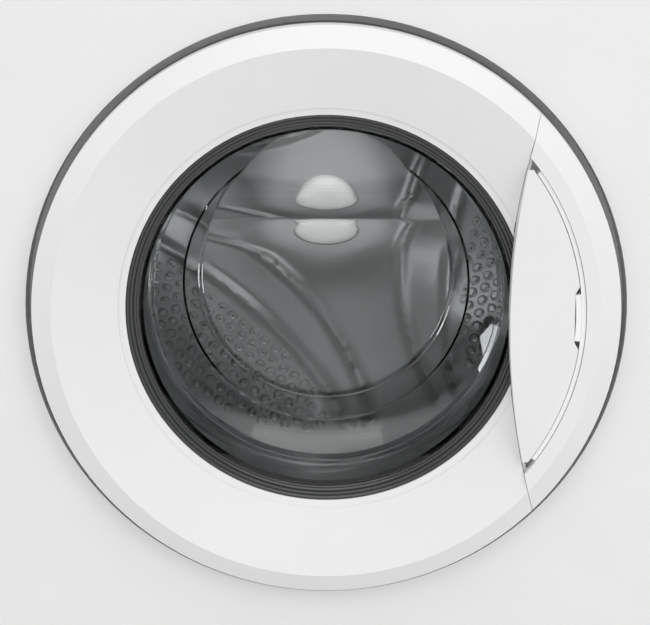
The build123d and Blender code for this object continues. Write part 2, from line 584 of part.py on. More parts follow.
with BuildPart() as door_grip_base:
    turned(rim_front + [
        (SLOT_R, RIDGE_Y + 1), (SLOT_R, FLOOR_Y), (GRIP_X - 16, FLOOR_Y), (GRIP_X - 16, FLOOR_Y + SKIN),
        (SLOT_R + SKIN, FLOOR_Y + SKIN), (SLOT_R + SKIN, RIDGE_Y + 3.7),
    ] + rim_back)
    turned([
        (WINDOW_R, FLOOR_Y + SKIN - 0.5), (WINDOW_R + SKIN, FLOOR_Y + SKIN - 0.5),
        (WINDOW_R + SKIN, GLASS_SEAT), (WINDOW_R, GLASS_SEAT),
    ])
    with BuildSketch(upright(FLOOR_Y)):
        with Locations((GRIP_X + GRIP_ARC, AXIS_Z)):
            Circle(GRIP_ARC)
            Circle(GRIP_ARC - SKIN, mode=Mode.SUBTRACT)
        with Locations((0, AXIS_Z)):
            Circle(SLOT_R + 1, mode=Mode.INTERSECT)
    extrude(amount=FLOOR_Y - GRIP_WALL_Y)
    for side in (-1, 1):
        zs = sorted((AXIS_Z + side * BASE_LUG_Z, AXIS_Z + side * (BASE_LUG_Z + LUG_W)))
        tube_z(LEVER_PIN_X, LEVER_PIN_Y, zs[0], zs[1], LUG_R)
        block(LEVER_PIN_X - LUG_R, LEVER_PIN_X + LUG_R, LEVER_PIN_Y, FLOOR_Y, zs[0], zs[1])
    tube_z(LEVER_PIN_X, LEVER_PIN_Y, AXIS_Z - 60, AXIS_Z + 60, LEVER_PIN_R, mode=Mode.SUBTRACT)
    block(ARM_X - 3, ARM_X + 10, FLOOR_Y, FLOOR_Y + SKIN, AXIS_Z - 6, AXIS_Z + 6, Mode.SUBTRACT)
    grip_region(GRIP_ARC, RIDGE_Y - 2, COVER_Y, Mode.INTERSECT)

lever_r = SLOT_R - SLOT_W

with BuildPart() as door_handle:
    with BuildSketch(upright(LEVER_BACK)):
        with Locations((GRIP_X + GRIP_ARC, AXIS_Z)):
            Circle(GRIP_ARC)
        with Locations((0, AXIS_Z)):
            Circle(lever_r, mode=Mode.INTERSECT)
        with Locations((lever_r, AXIS_Z)):
            Polygon([
                (-NOTCH_DEEP, -NOTCH_IN), (NOTCH_DEEP, NOTCH_IN - NOTCH_W), (NOTCH_DEEP, NOTCH_W - NOTCH_IN),
                (-NOTCH_DEEP, NOTCH_IN),
            ], align=None, mode=Mode.SUBTRACT)
        with Locations((lever_r, AXIS_Z)):
            Rectangle(lever_r, 2 * LEVER_HALF, mode=Mode.INTERSECT)
    extrude(amount=LEVER_T)
    chamfer(door_handle.faces().sort_by(Axis.Y)[0].edges(), length=0.6)
    for side in (-1, 1):
        zs = sorted((AXIS_Z + side * LEVER_LUG_Z, AXIS_Z + side * (LEVER_LUG_Z + LUG_W)))
        tube_z(LEVER_PIN_X, LEVER_PIN_Y, zs[0], zs[1], LUG_R)
        block(LEVER_PIN_X - LUG_R, LEVER_PIN_X + LUG_R, LEVER_BACK, LEVER_PIN_Y, zs[0], zs[1])
    tube_z(LEVER_PIN_X, LEVER_PIN_Y, AXIS_Z - 60, AXIS_Z + 60, LEVER_PIN_R + RUN, mode=Mode.SUBTRACT)
    block(ARM_X, ARM_X + 3, LEVER_BACK, ARM_TIP, AXIS_Z - 4, AXIS_Z + 4)
    block(ARM_X, ARM_X + ARM_FOOT, ARM_TIP - 3, ARM_TIP, AXIS_Z - 4, AXIS_Z + 4)

with BuildPart() as handle_pin:
    tube_z(LEVER_PIN_X, LEVER_PIN_Y, AXIS_Z - BASE_LUG_Z - LUG_W, AXIS_Z + BASE_LUG_Z + LUG_W, LEVER_PIN_R)

with BuildPart() as latch_hook:
    tube_z(HOOK_X, HOOK_Y, AXIS_Z - HOOK_HALF, AXIS_Z + HOOK_HALF, 4.5)
    block(ARM_X + 4.5, HOOK_X, -1.0, 2.0, AXIS_Z - HOOK_HALF, AXIS_Z + HOOK_HALF)
    block(HOOK_X - 3, HOOK_X + 3, HOOK_Y, NOSE_Y + 6, AXIS_Z - HOOK_HALF, AXIS_Z + HOOK_HALF)
    with BuildSketch(Plane.XY.offset(AXIS_Z - HOOK_HALF)):
        with BuildLine():
            Polyline([(HOOK_X, F + NOSE_Y), (NOSE_X, F + NOSE_Y), (NOSE_X, F + NOSE_Y + 2),
                      (HOOK_X + 3, F + NOSE_Y + 8), (HOOK_X - 3, F + NOSE_Y + 8), (HOOK_X - 3, F + NOSE_Y)], close=True)
        make_face()
    extrude(amount=2 * HOOK_HALF)
    tube_z(HOOK_X, HOOK_Y, AXIS_Z - HOOK_SLOT - BRACKET_T, AXIS_Z + HOOK_SLOT + BRACKET_T, HOOK_PIN_R)

WEB_X = -182.5

with BuildPart() as door_inner_frame:
    turned([
        (COVER_IN, COVER_Y), (COVER_R, COVER_Y), (COVER_R + 16, FRAME_RIM), (RIM_IN, FRAME_RIM),
        (RIM_IN, DOOR_BACK), (DOOR_R, DOOR_BACK), (DOOR_R, FRAME_RIM + SKIN), (COVER_R + 17, FRAME_RIM + SKIN),
        (COVER_R + 1, COVER_Y + COVER_T),
        (COVER_IN, COVER_Y + COVER_T),
    ])
    for x, z in door_screw_points:
        tube_y(x, z, COVER_Y, COVER_Y + COVER_T, DOOR_SCREW, mode=Mode.SUBTRACT)
    block(-DOOR_R - 1, WEB_X, DOOR_BACK - 1, 20, AXIS_Z - NOTCH_HALF, AXIS_Z + NOTCH_HALF, Mode.SUBTRACT)
    block(HOOK_X - 9, HOOK_X + 9, 0, 20, AXIS_Z - HOOK_SLOT, AXIS_Z + HOOK_SLOT, Mode.SUBTRACT)
    for z0 in (AXIS_Z + HOOK_SLOT, AXIS_Z - HOOK_SLOT - BRACKET_T):
        block(HOOK_X - 5, HOOK_X + 5, HOOK_Y, COVER_Y, z0, z0 + BRACKET_T)
        tube_z(HOOK_X, HOOK_Y, z0, z0 + BRACKET_T, 5.0)
        tube_z(HOOK_X, HOOK_Y, z0, z0 + BRACKET_T, HOOK_PIN_R + RUN, mode=Mode.SUBTRACT)

with BuildPart() as door_screws:
    for x, z in door_screw_points:
        tube_y(x, z, -7.0, COVER_Y + COVER_T, DOOR_SCREW)
        tube_y(x, z, COVER_Y + COVER_T, COVER_Y + COVER_T + 1.8, 3.5)

BOWL_DEEP = 111.0
BOWL_CREST = 47.5        # top edge of the bowl's flat end, above the door axis
BOWL_PITCH = 62.0        # slope of the bowl's slanted top, in degrees
BOWL_BLEND = 26.0        # length of the soft bend inside the crest
BOWL_EDGE = 2.5          # the same outside


def slant_top(end, sink, blend):
    """Cut the bowl's slanted top, sunk by a distance square to its face and blended into the flat end."""
    pitch = radians(BOWL_PITCH)
    half_turn = (radians(90) - pitch) / 2
    steep = sin(pitch) / cos(pitch)
    crest = AXIS_Z + BOWL_CREST - sink / cos(pitch) + steep * (BOWL_DEEP - end)
    front = COVER_Y + COVER_T + AIR
    inset = blend * (1 - cos(half_turn)) / sin(half_turn)
    low = (F + end, crest - blend)
    high = (F + end - blend * cos(pitch), crest + blend * sin(pitch))
    with BuildSketch(Plane.YZ.offset(-DOOR_R)) as wedge:
        with BuildLine():
            ThreePointArc(low, (F + end - inset * cos(half_turn), crest - inset * sin(half_turn)), high)
            Polyline([
                high, (F + front, crest + steep * (end - front)), (F + front, AXIS_Z + 2 * DOOR_R),
                (F + end + 1, AXIS_Z + 2 * DOOR_R), (F + end + 1, crest - blend), low,
            ])
        make_face()
    extrude(wedge.sketch, amount=2 * DOOR_R, mode=Mode.SUBTRACT)


with BuildPart() as bowl_inside:
    turned([
        (0, GLASS_SEAT - 1), (150.0, GLASS_SEAT - 1), (150.0, GLASS_SEAT), (147.0, COVER_Y - 1), (143.6, 48.5),
        (140.6, 55.0), (117.0, 80.0), (106.0, 104.0), (103.5, BOWL_DEEP - GLASS_T), (0, BOWL_DEEP - GLASS_T),
    ])
    slant_top(BOWL_DEEP - GLASS_T, GLASS_T, BOWL_BLEND)

with BuildPart() as door_glass:
    turned([
        (0, GLASS_SEAT), (GLASS_FLANGE_R, GLASS_SEAT), (GLASS_FLANGE_R, COVER_Y), (COVER_IN - AIR, COVER_Y),
        (148.0, 50.0), (144.0, 58.0), (120.5, 83.0), (110.0, 107.0), (106.0, BOWL_DEEP), (0, BOWL_DEEP),
    ])
    slant_top(BOWL_DEEP, 0, BOWL_EDGE)
    add(bowl_inside.part, mode=Mode.SUBTRACT)

slope = radians(NECK_SLOPE)
elbow = (PIVOT_X + NECK_REACH, PIVOT_Y + NECK_REACH * sin(slope) / cos(slope))
PLATE_T = 3.0
PLATE_Y = RECESS_DEPTH - PLATE_T


def slanted_bar(x_end, thick, bottom, height):
    """Flat bar from the hinge pivot towards the middle of the door, on edge."""
    y_end = PIVOT_Y + (x_end - PIVOT_X) * sin(slope) / cos(slope)
    half = thick / 2
    with BuildSketch(Plane.XY.offset(bottom)) as face:
        with BuildLine():
            Polyline([
                (PIVOT_X + half * sin(slope), F + PIVOT_Y - half * cos(slope)),
                (x_end + half * sin(slope), F + y_end - half * cos(slope)),
                (x_end - half * sin(slope), F + y_end + half * cos(slope)),
                (PIVOT_X - half * sin(slope), F + PIVOT_Y + half * cos(slope)),
            ], close=True)
        make_face()
    extrude(face.sketch, amount=height)


with BuildPart() as hinge_bracket:
    low = AXIS_Z - KNUCKLE_HALF
    tube_z(PIVOT_X, PIVOT_Y, low, low + KNUCKLE_H, KNUCKLE_R)
    slanted_bar(elbow[0], NECK_T, low, KNUCKLE_H)
    tube_z(elbow[0], elbow[1], low, low + KNUCKLE_H, NECK_T / 2)
    block(elbow[0] - NECK_T / 2, elbow[0] + NECK_T / 2, elbow[1], PLATE_Y, low, low + KNUCKLE_H)
    block(-231.0, elbow[0] + 5.0, PLATE_Y, RECESS_DEPTH, AXIS_Z - 38, AXIS_Z + 38)
    tube_z(PIVOT_X, PIVOT_Y, low, low + KNUCKLE_H, PIN_R, mode=Mode.SUBTRACT)
    for side in (-1, 1):
        tube_y(HINGE_SCREW_X, AXIS_Z + side * HINGE_SCREW_Z, PLATE_Y, RECESS_DEPTH, SCREW_R, mode=Mode.SUBTRACT)

HINGE_HALF = KNUCKLE_HALF + 12.0

with BuildPart() as door_hinge_plate:
    low = AXIS_Z - HINGE_HALF
    tube_z(PIVOT_X, PIVOT_Y, low, low + 2 * HINGE_HALF, KNUCKLE_R)
    slanted_bar(WEB_X + 6, 3.0, low, 2 * HINGE_HALF)
    block(WEB_X, WEB_X + 6, 0, COVER_Y, low, low + 2 * HINGE_HALF)
    tube_z(PIVOT_X, PIVOT_Y, low, low + 2 * HINGE_HALF, PIN_R + RUN, mode=Mode.SUBTRACT)
    block(PIVOT_X - 10, WEB_X, -25, 10, AXIS_Z - KNUCKLE_HALF - AIR, AXIS_Z + KNUCKLE_HALF + AIR, Mode.SUBTRACT)

with BuildPart() as hinge_pin:
    tube_z(PIVOT_X, PIVOT_Y, AXIS_Z - HINGE_HALF, AXIS_Z + HINGE_HALF, PIN_R)

LOCK_BACK = 50.0

with BuildPart() as door_lock:
    block(LOCK_X0 - 8, LOCK_X1 + 15, FLOOR_BACK, LOCK_BACK, AXIS_Z - 42, AXIS_Z + 42)
    block(LOCK_X0 - 5, LOCK_X1 + 8, FLOOR_BACK, LOCK_BACK - 4, AXIS_Z - LOCK_HALF, AXIS_Z + LOCK_HALF, Mode.SUBTRACT)
    for side in (-1, 1):
        tube_y(LOCK_SCREW_X, AXIS_Z + side * LOCK_SCREW_Z, FLOOR_BACK, FLOOR_BACK + 9, SCREW_R, mode=Mode.SUBTRACT)
    tube_z(LOCK_X1 + 3, FLOOR_BACK + 6, AXIS_Z - LOCK_HALF - 1, AXIS_Z + LOCK_HALF + 1, 2.5)

with BuildPart() as door_gasket:
    turned([
        (173.5, 18.0), (176.5, 18.0), (176.5, 32.0), (174.0, 34.0), (182.0, 44.0), (182.0, 56.0), (176.0, 62.0),
        (171.3, 64.0), (171.3, 78.0), (168.3, 78.0), (168.3, 61.0), (173.0, 59.5), (179.0, 54.5), (179.0, 45.5),
        (171.0, 36.0), (156.0, 41.0), (149.5, 42.0), (149.5, 39.0), (155.0, 37.0), (168.0, 31.5),
        (168.8, 29.5), (171.0, 28.4), (173.5, 28.4),
    ])

# ---------------------------------------------------------------- tub
TUB_OUT = TUB_R + TUB_WALL
FLANGE_R = TUB_OUT + 8.0
FLANGE_T = 6.0
COLLAR_FRONT = 72.0
HUB_R = 42.0
HUB_BACK = 510.0
BACK_WALL = 462.0
SUMP_X = 55.0
SUMP_Z = 134.0
SUMP_Y0 = 110.0
SUMP_Y1 = 240.0
SPIGOT_Y = 150.0
SPIGOT_Z = 153.0
HEATER_X = 25.0
HEATER_R = 3.3
HEATER_Z = 158.0
BOLT_RING_R = 266.0
TUB_BOLT_R = 2.5
WEIGHT_BOLT_R = 4.0
WEIGHT_R0 = 186.0
WEIGHT_R1 = 255.0
WEIGHT_Y = 58.0
FILL_Y = HOUSING_BACK - 25
FILL_R = 14.0
FILL_LOW = 590.0
FILL_TOP = 656.0
tub_bolt_points = ring_at(BOLT_RING_R, 12, 15.0)
weight_points = ring_at((WEIGHT_R0 + WEIGHT_R1) / 2, 4, 45.0)

with BuildPart() as tub_front:
    turned([
        (COLLAR_R, COLLAR_FRONT), (COLLAR_R + 3, COLLAR_FRONT), (COLLAR_R + 3, TUB_FRONT), (TUB_OUT, TUB_FRONT),
        (TUB_OUT, TUB_SPLIT - FLANGE_T), (FLANGE_R, TUB_SPLIT - FLANGE_T), (FLANGE_R, TUB_SPLIT),
        (TUB_R, TUB_SPLIT), (TUB_R, TUB_FRONT + TUB_WALL), (COLLAR_R, TUB_FRONT + TUB_WALL),
    ])
    block(-SUMP_X, SUMP_X, SUMP_Y0, SUMP_Y1, SUMP_Z, SUMP_Z + 50)
    tube_x(SPIGOT_Y, SPIGOT_Z, SUMP_X - TUB_WALL, SUMP_X + 20, PORT_R)
    tube_z(house_x, FILL_Y, FILL_LOW, FILL_TOP, FILL_R)
    tube_z(house_x, FILL_Y, FILL_LOW - 20, FILL_TOP, FILL_R - 3, mode=Mode.SUBTRACT)
    tube_x(SPIGOT_Y, SPIGOT_Z, SUMP_X - TUB_WALL, SUMP_X + 20, PORT_R - 3, mode=Mode.SUBTRACT)
    wall = TUB_WALL
    block(-SUMP_X + wall, SUMP_X - wall, SUMP_Y0 + wall, SUMP_Y1 - wall, SUMP_Z + wall, SUMP_Z + 60, Mode.SUBTRACT)
    tube_y(0, AXIS_Z, TUB_FRONT + TUB_WALL, TUB_SPLIT, TUB_R, mode=Mode.SUBTRACT)
    for side in (-1, 1):
        tube_y(side * HEATER_X, HEATER_Z, SUMP_Y0, SUMP_Y0 + wall, HEATER_R, mode=Mode.SUBTRACT)
    for x, z in tub_bolt_points:
        tube_y(x, z, TUB_SPLIT - FLANGE_T, TUB_SPLIT, TUB_BOLT_R, mode=Mode.SUBTRACT)
    for x, z in weight_points:
        tube_y(x, z, TUB_FRONT, TUB_FRONT + TUB_WALL, WEIGHT_BOLT_R, mode=Mode.SUBTRACT)

SPRING_LUG_Z = 572.0
SPRING_LUG_T = 8.0
PILLAR_R = 10.0
PILLAR_TOP = 752.0
MOTOR_BOLT_Z = 166.0
MOTOR_Y0 = 340.0
MOTOR_Y1 = 500.0
MOTOR_LUG_Y0 = 380.0
MOTOR_LUG_Y1 = 440.0
LUG_T = 10.0
DAMPER_LUG_Z = 190.0
pillar_points = [(0.0, 330.0), (120.0, 330.0)]

with BuildPart() as tub_rear:
    turned([
        (TUB_R, TUB_SPLIT), (FLANGE_R, TUB_SPLIT), (FLANGE_R, TUB_SPLIT + FLANGE_T), (TUB_OUT, TUB_SPLIT + FLANGE_T),
        (TUB_OUT, TUB_BACK), (HUB_R, TUB_BACK), (HUB_R, HUB_BACK), (BEARING_R, HUB_BACK),
        (BEARING_R, HUB_BACK - 16), (BEARING_R - 3, HUB_BACK - 16), (BEARING_R - 3, BACK_WALL + 18),
        (BEARING_R, BACK_WALL + 18), (BEARING_R, BACK_WALL), (TUB_R, BACK_WALL),
    ])
    for i in range(12):
        with BuildSketch(upright(TUB_BACK + 12)):
            with Locations(Location((0, AXIS_Z), 30 * i)):
                with Locations(((HUB_R + TUB_R) / 2 - 2, 0)):
                    Rectangle(TUB_R - HUB_R, 3)
        extrude(amount=12)
    for side in (-1, 1):
        xs = sorted((side * 214.0, side * (SPRING_X + 14)))
        block(xs[0], xs[1], RAIL_Y - 9, RAIL_Y + 9, SPRING_LUG_Z, SPRING_LUG_Z + SPRING_LUG_T)
        tube_z(side * SPRING_X, RAIL_Y, SPRING_LUG_Z, SPRING_LUG_Z + 22, SPRING_CUP_R)
        block(side * DAMPER_X - 12, side * DAMPER_X + 12, DAMPER_Y - 10, DAMPER_Y + 10, DAMPER_LUG_Z, DAMPER_LUG_Z + 40)
    for x, y in pillar_points:
        tube_z(x, y, AXIS_Z + TUB_R - 35, PILLAR_TOP, PILLAR_R)
    for y0 in (MOTOR_LUG_Y0 - LUG_T, MOTOR_LUG_Y1):
        block(MOTOR_X - 18, MOTOR_X + 18, y0, y0 + LUG_T, MOTOR_BOLT_Z - 9, MOTOR_BOLT_Z + 40)
    tube_y(MOTOR_X, MOTOR_BOLT_Z, MOTOR_LUG_Y0 - LUG_T, MOTOR_LUG_Y1 + LUG_T, WEIGHT_BOLT_R, mode=Mode.SUBTRACT)
    tube_y(0, AXIS_Z, TUB_SPLIT, BACK_WALL, TUB_R, mode=Mode.SUBTRACT)
    for x, z in tub_bolt_points:
        tube_y(x, z, TUB_SPLIT, TUB_SPLIT + FLANGE_T, TUB_BOLT_R, mode=Mode.SUBTRACT)
    for x, y in pillar_points:
        tube_z(x, y, PILLAR_TOP - 20, PILLAR_TOP, WEIGHT_BOLT_R, mode=Mode.SUBTRACT)

with BuildPart() as tub_bolts:
    for x, z in tub_bolt_points:
        tube_y(x, z, TUB_SPLIT - FLANGE_T, TUB_SPLIT + FLANGE_T, TUB_BOLT_R)
        hex_y(x, z, TUB_SPLIT - FLANGE_T - 4, TUB_SPLIT - FLANGE_T, 6.4)

with BuildPart() as counterweight_front:
    turned([(WEIGHT_R0, WEIGHT_Y), (WEIGHT_R1, WEIGHT_Y), (WEIGHT_R1, TUB_FRONT), (WEIGHT_R0, TUB_FRONT)])
    for x, z in weight_points:
        tube_y(x, z, WEIGHT_Y, TUB_FRONT, WEIGHT_BOLT_R, mode=Mode.SUBTRACT)

TOP_WEIGHT_Z = 776.0
TOP_WEIGHT_Y0 = 264.0
TOP_WEIGHT_Y1 = 410.0

with BuildPart() as counterweight_top:
    block(-80, 190, TOP_WEIGHT_Y0, TOP_WEIGHT_Y1, AXIS_Z + 180, TOP_WEIGHT_Z)
    fillet(counterweight_top.edges().filter_by(Axis.Z), radius=12.0)
    tube_y(0, AXIS_Z, TUB_SPLIT, TUB_BACK, TUB_OUT, mode=Mode.SUBTRACT)
    for x, y in pillar_points:
        tube_z(x, y, AXIS_Z, PILLAR_TOP, PILLAR_R, mode=Mode.SUBTRACT)
        tube_z(x, y, PILLAR_TOP, TOP_WEIGHT_Z, WEIGHT_BOLT_R, mode=Mode.SUBTRACT)

with BuildPart() as counterweight_bolts:
    for x, z in weight_points:
        tube_y(x, z, WEIGHT_Y, TUB_FRONT + TUB_WALL, WEIGHT_BOLT_R)
        hex_y(x, z, WEIGHT_Y - 5, WEIGHT_Y, 13)
    for x, y in pillar_points:
        tube_z(x, y, PILLAR_TOP - 7, TOP_WEIGHT_Z, WEIGHT_BOLT_R)
        with BuildSketch(Plane.XY.offset(TOP_WEIGHT_Z)):
            with Locations((x, F + y)):
                RegularPolygon(6.5, 6, major_radius=False)
        extrude(amount=5)

with BuildPart() as heater:
    pipe([(-HEATER_X, SUMP_Y0 - 10, HEATER_Z), (-HEATER_X, SUMP_Y1 - 18, HEATER_Z),
          (HEATER_X, SUMP_Y1 - 18, HEATER_Z), (HEATER_X, SUMP_Y0 - 10, HEATER_Z)], HEATER_X - 1, HEATER_R)
    block(-HEATER_X - 10, HEATER_X + 10, SUMP_Y0 - 4, SUMP_Y0, HEATER_Z - 9, HEATER_Z + 9)

SPRING_WIRE = 2.4
SPRING_PITCH = 12.0
SPRING_LOW = SPRING_LUG_Z + SPRING_LUG_T + SPRING_WIRE
SPRING_HIGH = SPRING_TOP - 1.0

with BuildPart() as suspension_springs:
    for side in (-1, 1):
        spring_r = SPRING_CUP_R + SPRING_WIRE + 0.3
        with BuildLine() as coil:
            Helix(pitch=SPRING_PITCH, height=SPRING_HIGH - SPRING_LOW, radius=spring_r,
                  center=(side * SPRING_X, F + RAIL_Y, SPRING_LOW))
        with BuildSketch(coil.line ^ 0):
            Circle(SPRING_WIRE)
        sweep(path=coil.line, is_frenet=True)

ROD_R = 5.0
PISTON_R = 10.0
CYL_TOP = 160.0

with BuildPart() as damper_cylinders:
    for side in (-1, 1):
        x = side * DAMPER_X
        tube_z(x, DAMPER_Y, DAMPER_FOOT, CYL_TOP, DAMPER_R)
        tube_z(x, DAMPER_Y, DAMPER_FOOT + 6, CYL_TOP - 8, DAMPER_R - 3, mode=Mode.SUBTRACT)
        tube_z(x, DAMPER_Y, CYL_TOP - 8, CYL_TOP, ROD_R + RUN, mode=Mode.SUBTRACT)

with BuildPart() as bearings:
    for y0 in (BACK_WALL + 2, HUB_BACK - 16):
        turned([(SHAFT_R + RUN, y0), (BEARING_R, y0), (BEARING_R, y0 + 16), (SHAFT_R + RUN, y0 + 16)])

with BuildPart() as damper_rods:
    for side in (-1, 1):
        x = side * DAMPER_X
        tube_z(x, DAMPER_Y, 90, DAMPER_LUG_Z - 4, ROD_R)
        tube_z(x, DAMPER_Y, 84, 100, PISTON_R)
        tube_z(x, DAMPER_Y, DAMPER_LUG_Z - 4, DAMPER_LUG_Z, PISTON_R)

# ---------------------------------------------------------------- drum
DRUM_MOUTH = 160.0
DISH_R = 88.0
DISH_EDGE = 150.0
DISH_Y = 338.0
SPIDER_ARM = 24.0

with BuildPart() as drum:
    turned([
        (DRUM_MOUTH - 1.5, DRUM_FRONT), (175.0, DRUM_FRONT), (DRUM_R, DRUM_FRONT + 11), (DRUM_R, DRUM_BACK),
        (DRUM_R - DRUM_T, DRUM_BACK), (DRUM_R - DRUM_T, DRUM_FRONT + 12.1), (174.8, DRUM_FRONT + 1.2),
        (DRUM_MOUTH, DRUM_FRONT + 1.2), (DRUM_MOUTH, DRUM_FRONT + 6), (DRUM_MOUTH - 1.5, DRUM_FRONT + 6),
    ])

with BuildPart() as drum_back:
    turned([
        (0, DISH_Y), (DISH_R, DISH_Y), (DISH_EDGE, DRUM_BACK), (DRUM_R, DRUM_BACK), (DRUM_R, DRUM_BACK + DRUM_T),
        (DISH_EDGE - 0.6, DRUM_BACK + DRUM_T), (DISH_R - 0.6, DISH_Y + DRUM_T), (0, DISH_Y + DRUM_T),
    ])

LIFTER_TOP = 196.0

with BuildPart() as drum_lifters:
    for i in range(3):
        with BuildSketch(upright(DRUM_BACK - 12)):
            with Locations(Location((0, AXIS_Z), 120 * i + 200)):
                Polygon((LIFTER_TOP, -8), (LIFTER_TOP, 8), (DRUM_R + 3, 34), (DRUM_R + 3, -34), align=None)
            with Locations((0, AXIS_Z)):
                Circle(DRUM_R - DRUM_T, mode=Mode.INTERSECT)
        extrude(amount=DRUM_BACK - 12 - (DRUM_FRONT + 28))

with BuildPart() as spider_shaft:
    tube_y(0, AXIS_Z, DISH_Y + DRUM_T, 450, 30)
    for i in range(3):
        with BuildSketch(upright(DRUM_BACK + 17)):
            with Locations(Location((0, AXIS_Z), 120 * i + 200)):
                with Locations((DRUM_R / 2, 0)):
                    Rectangle(DRUM_R - 6, SPIDER_ARM)
        extrude(amount=17 - DRUM_T)
    tube_y(0, AXIS_Z, 450, PULLEY_Y + PULLEY_W, SHAFT_R)
    hex_y(0, AXIS_Z, PULLEY_Y + PULLEY_W, PULLEY_Y + PULLEY_W + 8, 19)

PULLEY_END = PULLEY_Y + PULLEY_W

with BuildPart() as drum_pulley:
    turned([
        (SHAFT_R, PULLEY_Y - 2), (30.0, PULLEY_Y - 2), (30.0, PULLEY_Y + 4), (PULLEY_R - 10, PULLEY_Y + 4),
        (PULLEY_R - 10, PULLEY_Y), (PULLEY_R, PULLEY_Y), (PULLEY_R, PULLEY_END), (PULLEY_R - 10, PULLEY_END),
        (PULLEY_R - 10, PULLEY_Y + 9), (30.0, PULLEY_Y + 9), (30.0, PULLEY_END), (SHAFT_R, PULLEY_END),
    ])
    for x, z in ring_at(76.0, 6):
        tube_y(x, z, PULLEY_Y + 4, PULLEY_Y + 9, 26.0, mode=Mode.SUBTRACT)

MOTOR_SHAFT_R = 6.0

with BuildPart() as motor_housing:
    tube_y(MOTOR_X, MOTOR_Z, MOTOR_Y0, MOTOR_Y1, MOTOR_R)
    block(MOTOR_X - 14, MOTOR_X + 14, MOTOR_LUG_Y0, MOTOR_LUG_Y1, MOTOR_Z, MOTOR_BOLT_Z + 8)
    tube_y(MOTOR_X, MOTOR_Z, MOTOR_Y1 - 60, MOTOR_Y1, MOTOR_SHAFT_R + RUN, mode=Mode.SUBTRACT)
    tube_y(MOTOR_X, MOTOR_BOLT_Z, MOTOR_LUG_Y0 - LUG_T, MOTOR_LUG_Y1 + LUG_T, WEIGHT_BOLT_R)
    hex_y(MOTOR_X, MOTOR_BOLT_Z, MOTOR_LUG_Y1 + LUG_T, MOTOR_LUG_Y1 + LUG_T + 5, 13)

with BuildPart() as motor_rotor:
    tube_y(MOTOR_X, MOTOR_Z, MOTOR_Y1 - 58, PULLEY_END, MOTOR_SHAFT_R)
    tube_y(MOTOR_X, MOTOR_Z, PULLEY_Y, PULLEY_END, MOTOR_PULLEY_R)
    for y0 in (PULLEY_Y - 2, PULLEY_END):
        tube_y(MOTOR_X, MOTOR_Z, y0, y0 + 2, MOTOR_PULLEY_R + 5)

span = sqrt(MOTOR_X ** 2 + (AXIS_Z - MOTOR_Z) ** 2)
lean = atan2(MOTOR_Z - AXIS_Z, MOTOR_X)


def belt_outline(big, small, mode=Mode.ADD):
    """Outline of a belt round the drum pulley and the motor pulley."""
    spread = acos((big - small) / span)
    points = []
    for turn in (lean + spread, lean - spread):
        points.append((big * cos(turn), AXIS_Z + big * sin(turn)))
        points.append((MOTOR_X + small * cos(turn), MOTOR_Z + small * sin(turn)))
    with BuildSketch(mode=Mode.PRIVATE) as outline:
        with Locations((0, AXIS_Z)):
            Circle(big)
        with Locations((MOTOR_X, MOTOR_Z)):
            Circle(small)
        Polygon(points[0], points[1], points[3], points[2], align=None)
    add(outline.sketch, mode=mode)


with BuildPart() as drive_belt:
    with BuildSketch(upright(PULLEY_END - 1)):
        belt_outline(PULLEY_R + 0.3 + BELT_T, MOTOR_PULLEY_R + 0.3 + BELT_T)
        belt_outline(PULLEY_R + 0.3, MOTOR_PULLEY_R + 0.3, Mode.SUBTRACT)
    extrude(amount=PULLEY_W - 2)

# ---------------------------------------------------------------- hoses and rear fittings
HOSE_GAP = 0.3
HOSE_T = 2.7
VALVE_PORT_R = 7.0
OUT_X = PUMP_X + 15
RISER_X = 262.0
RISER_Y = 548.0
RUN_Z = 196.0
DRAIN_HOSE_R = 10.3
pump_port = PUMP_X - PUMP_R - 22

with BuildPart() as tub_hoses:
    pipe([(SUMP_X + 3, SPIGOT_Y, SPIGOT_Z), (SUMP_X + 50, SPIGOT_Y, SPIGOT_Z), (pump_port - 34, PORT_Y, PUMP_Z + 10),
          (pump_port + 18, PORT_Y, PUMP_Z + 10)], 22.0, PORT_R + HOSE_GAP + HOSE_T, PORT_R + HOSE_GAP)
    tube_z(house_x, FILL_Y, FILL_TOP - 18, hz0 - 1, FILL_R + HOSE_GAP + HOSE_T, FILL_R + HOSE_GAP)

with BuildPart() as water_hoses:
    pipe([(INLET_X, HOUSING_BACK + 2, NOZZLE_Z), (INLET_X, 330, NOZZLE_Z), (INLET_X, 420, INLET_Z),
          (INLET_X, VALVE_Y0 - 1, INLET_Z)], 60.0, VALVE_PORT_R + HOSE_GAP + 2, VALVE_PORT_R + HOSE_GAP)
    pipe([(OUT_X, OUT_Y, PUMP_Z + PUMP_R + 6), (OUT_X, OUT_Y, RUN_Z), (RISER_X, OUT_Y + 60, RUN_Z),
          (RISER_X, RISER_Y, RUN_Z), (RISER_X, RISER_Y, DRAIN_Z), (DRAIN_X, RISER_Y, DRAIN_Z),
          (DRAIN_X, DEPTH + 12, DRAIN_Z)], 18.0, DRAIN_HOSE_R + 2, DRAIN_HOSE_R)
    tube_y(DRAIN_X, DRAIN_Z, DEPTH, DEPTH + 3, DRAIN_R + 6, DRAIN_HOSE_R)

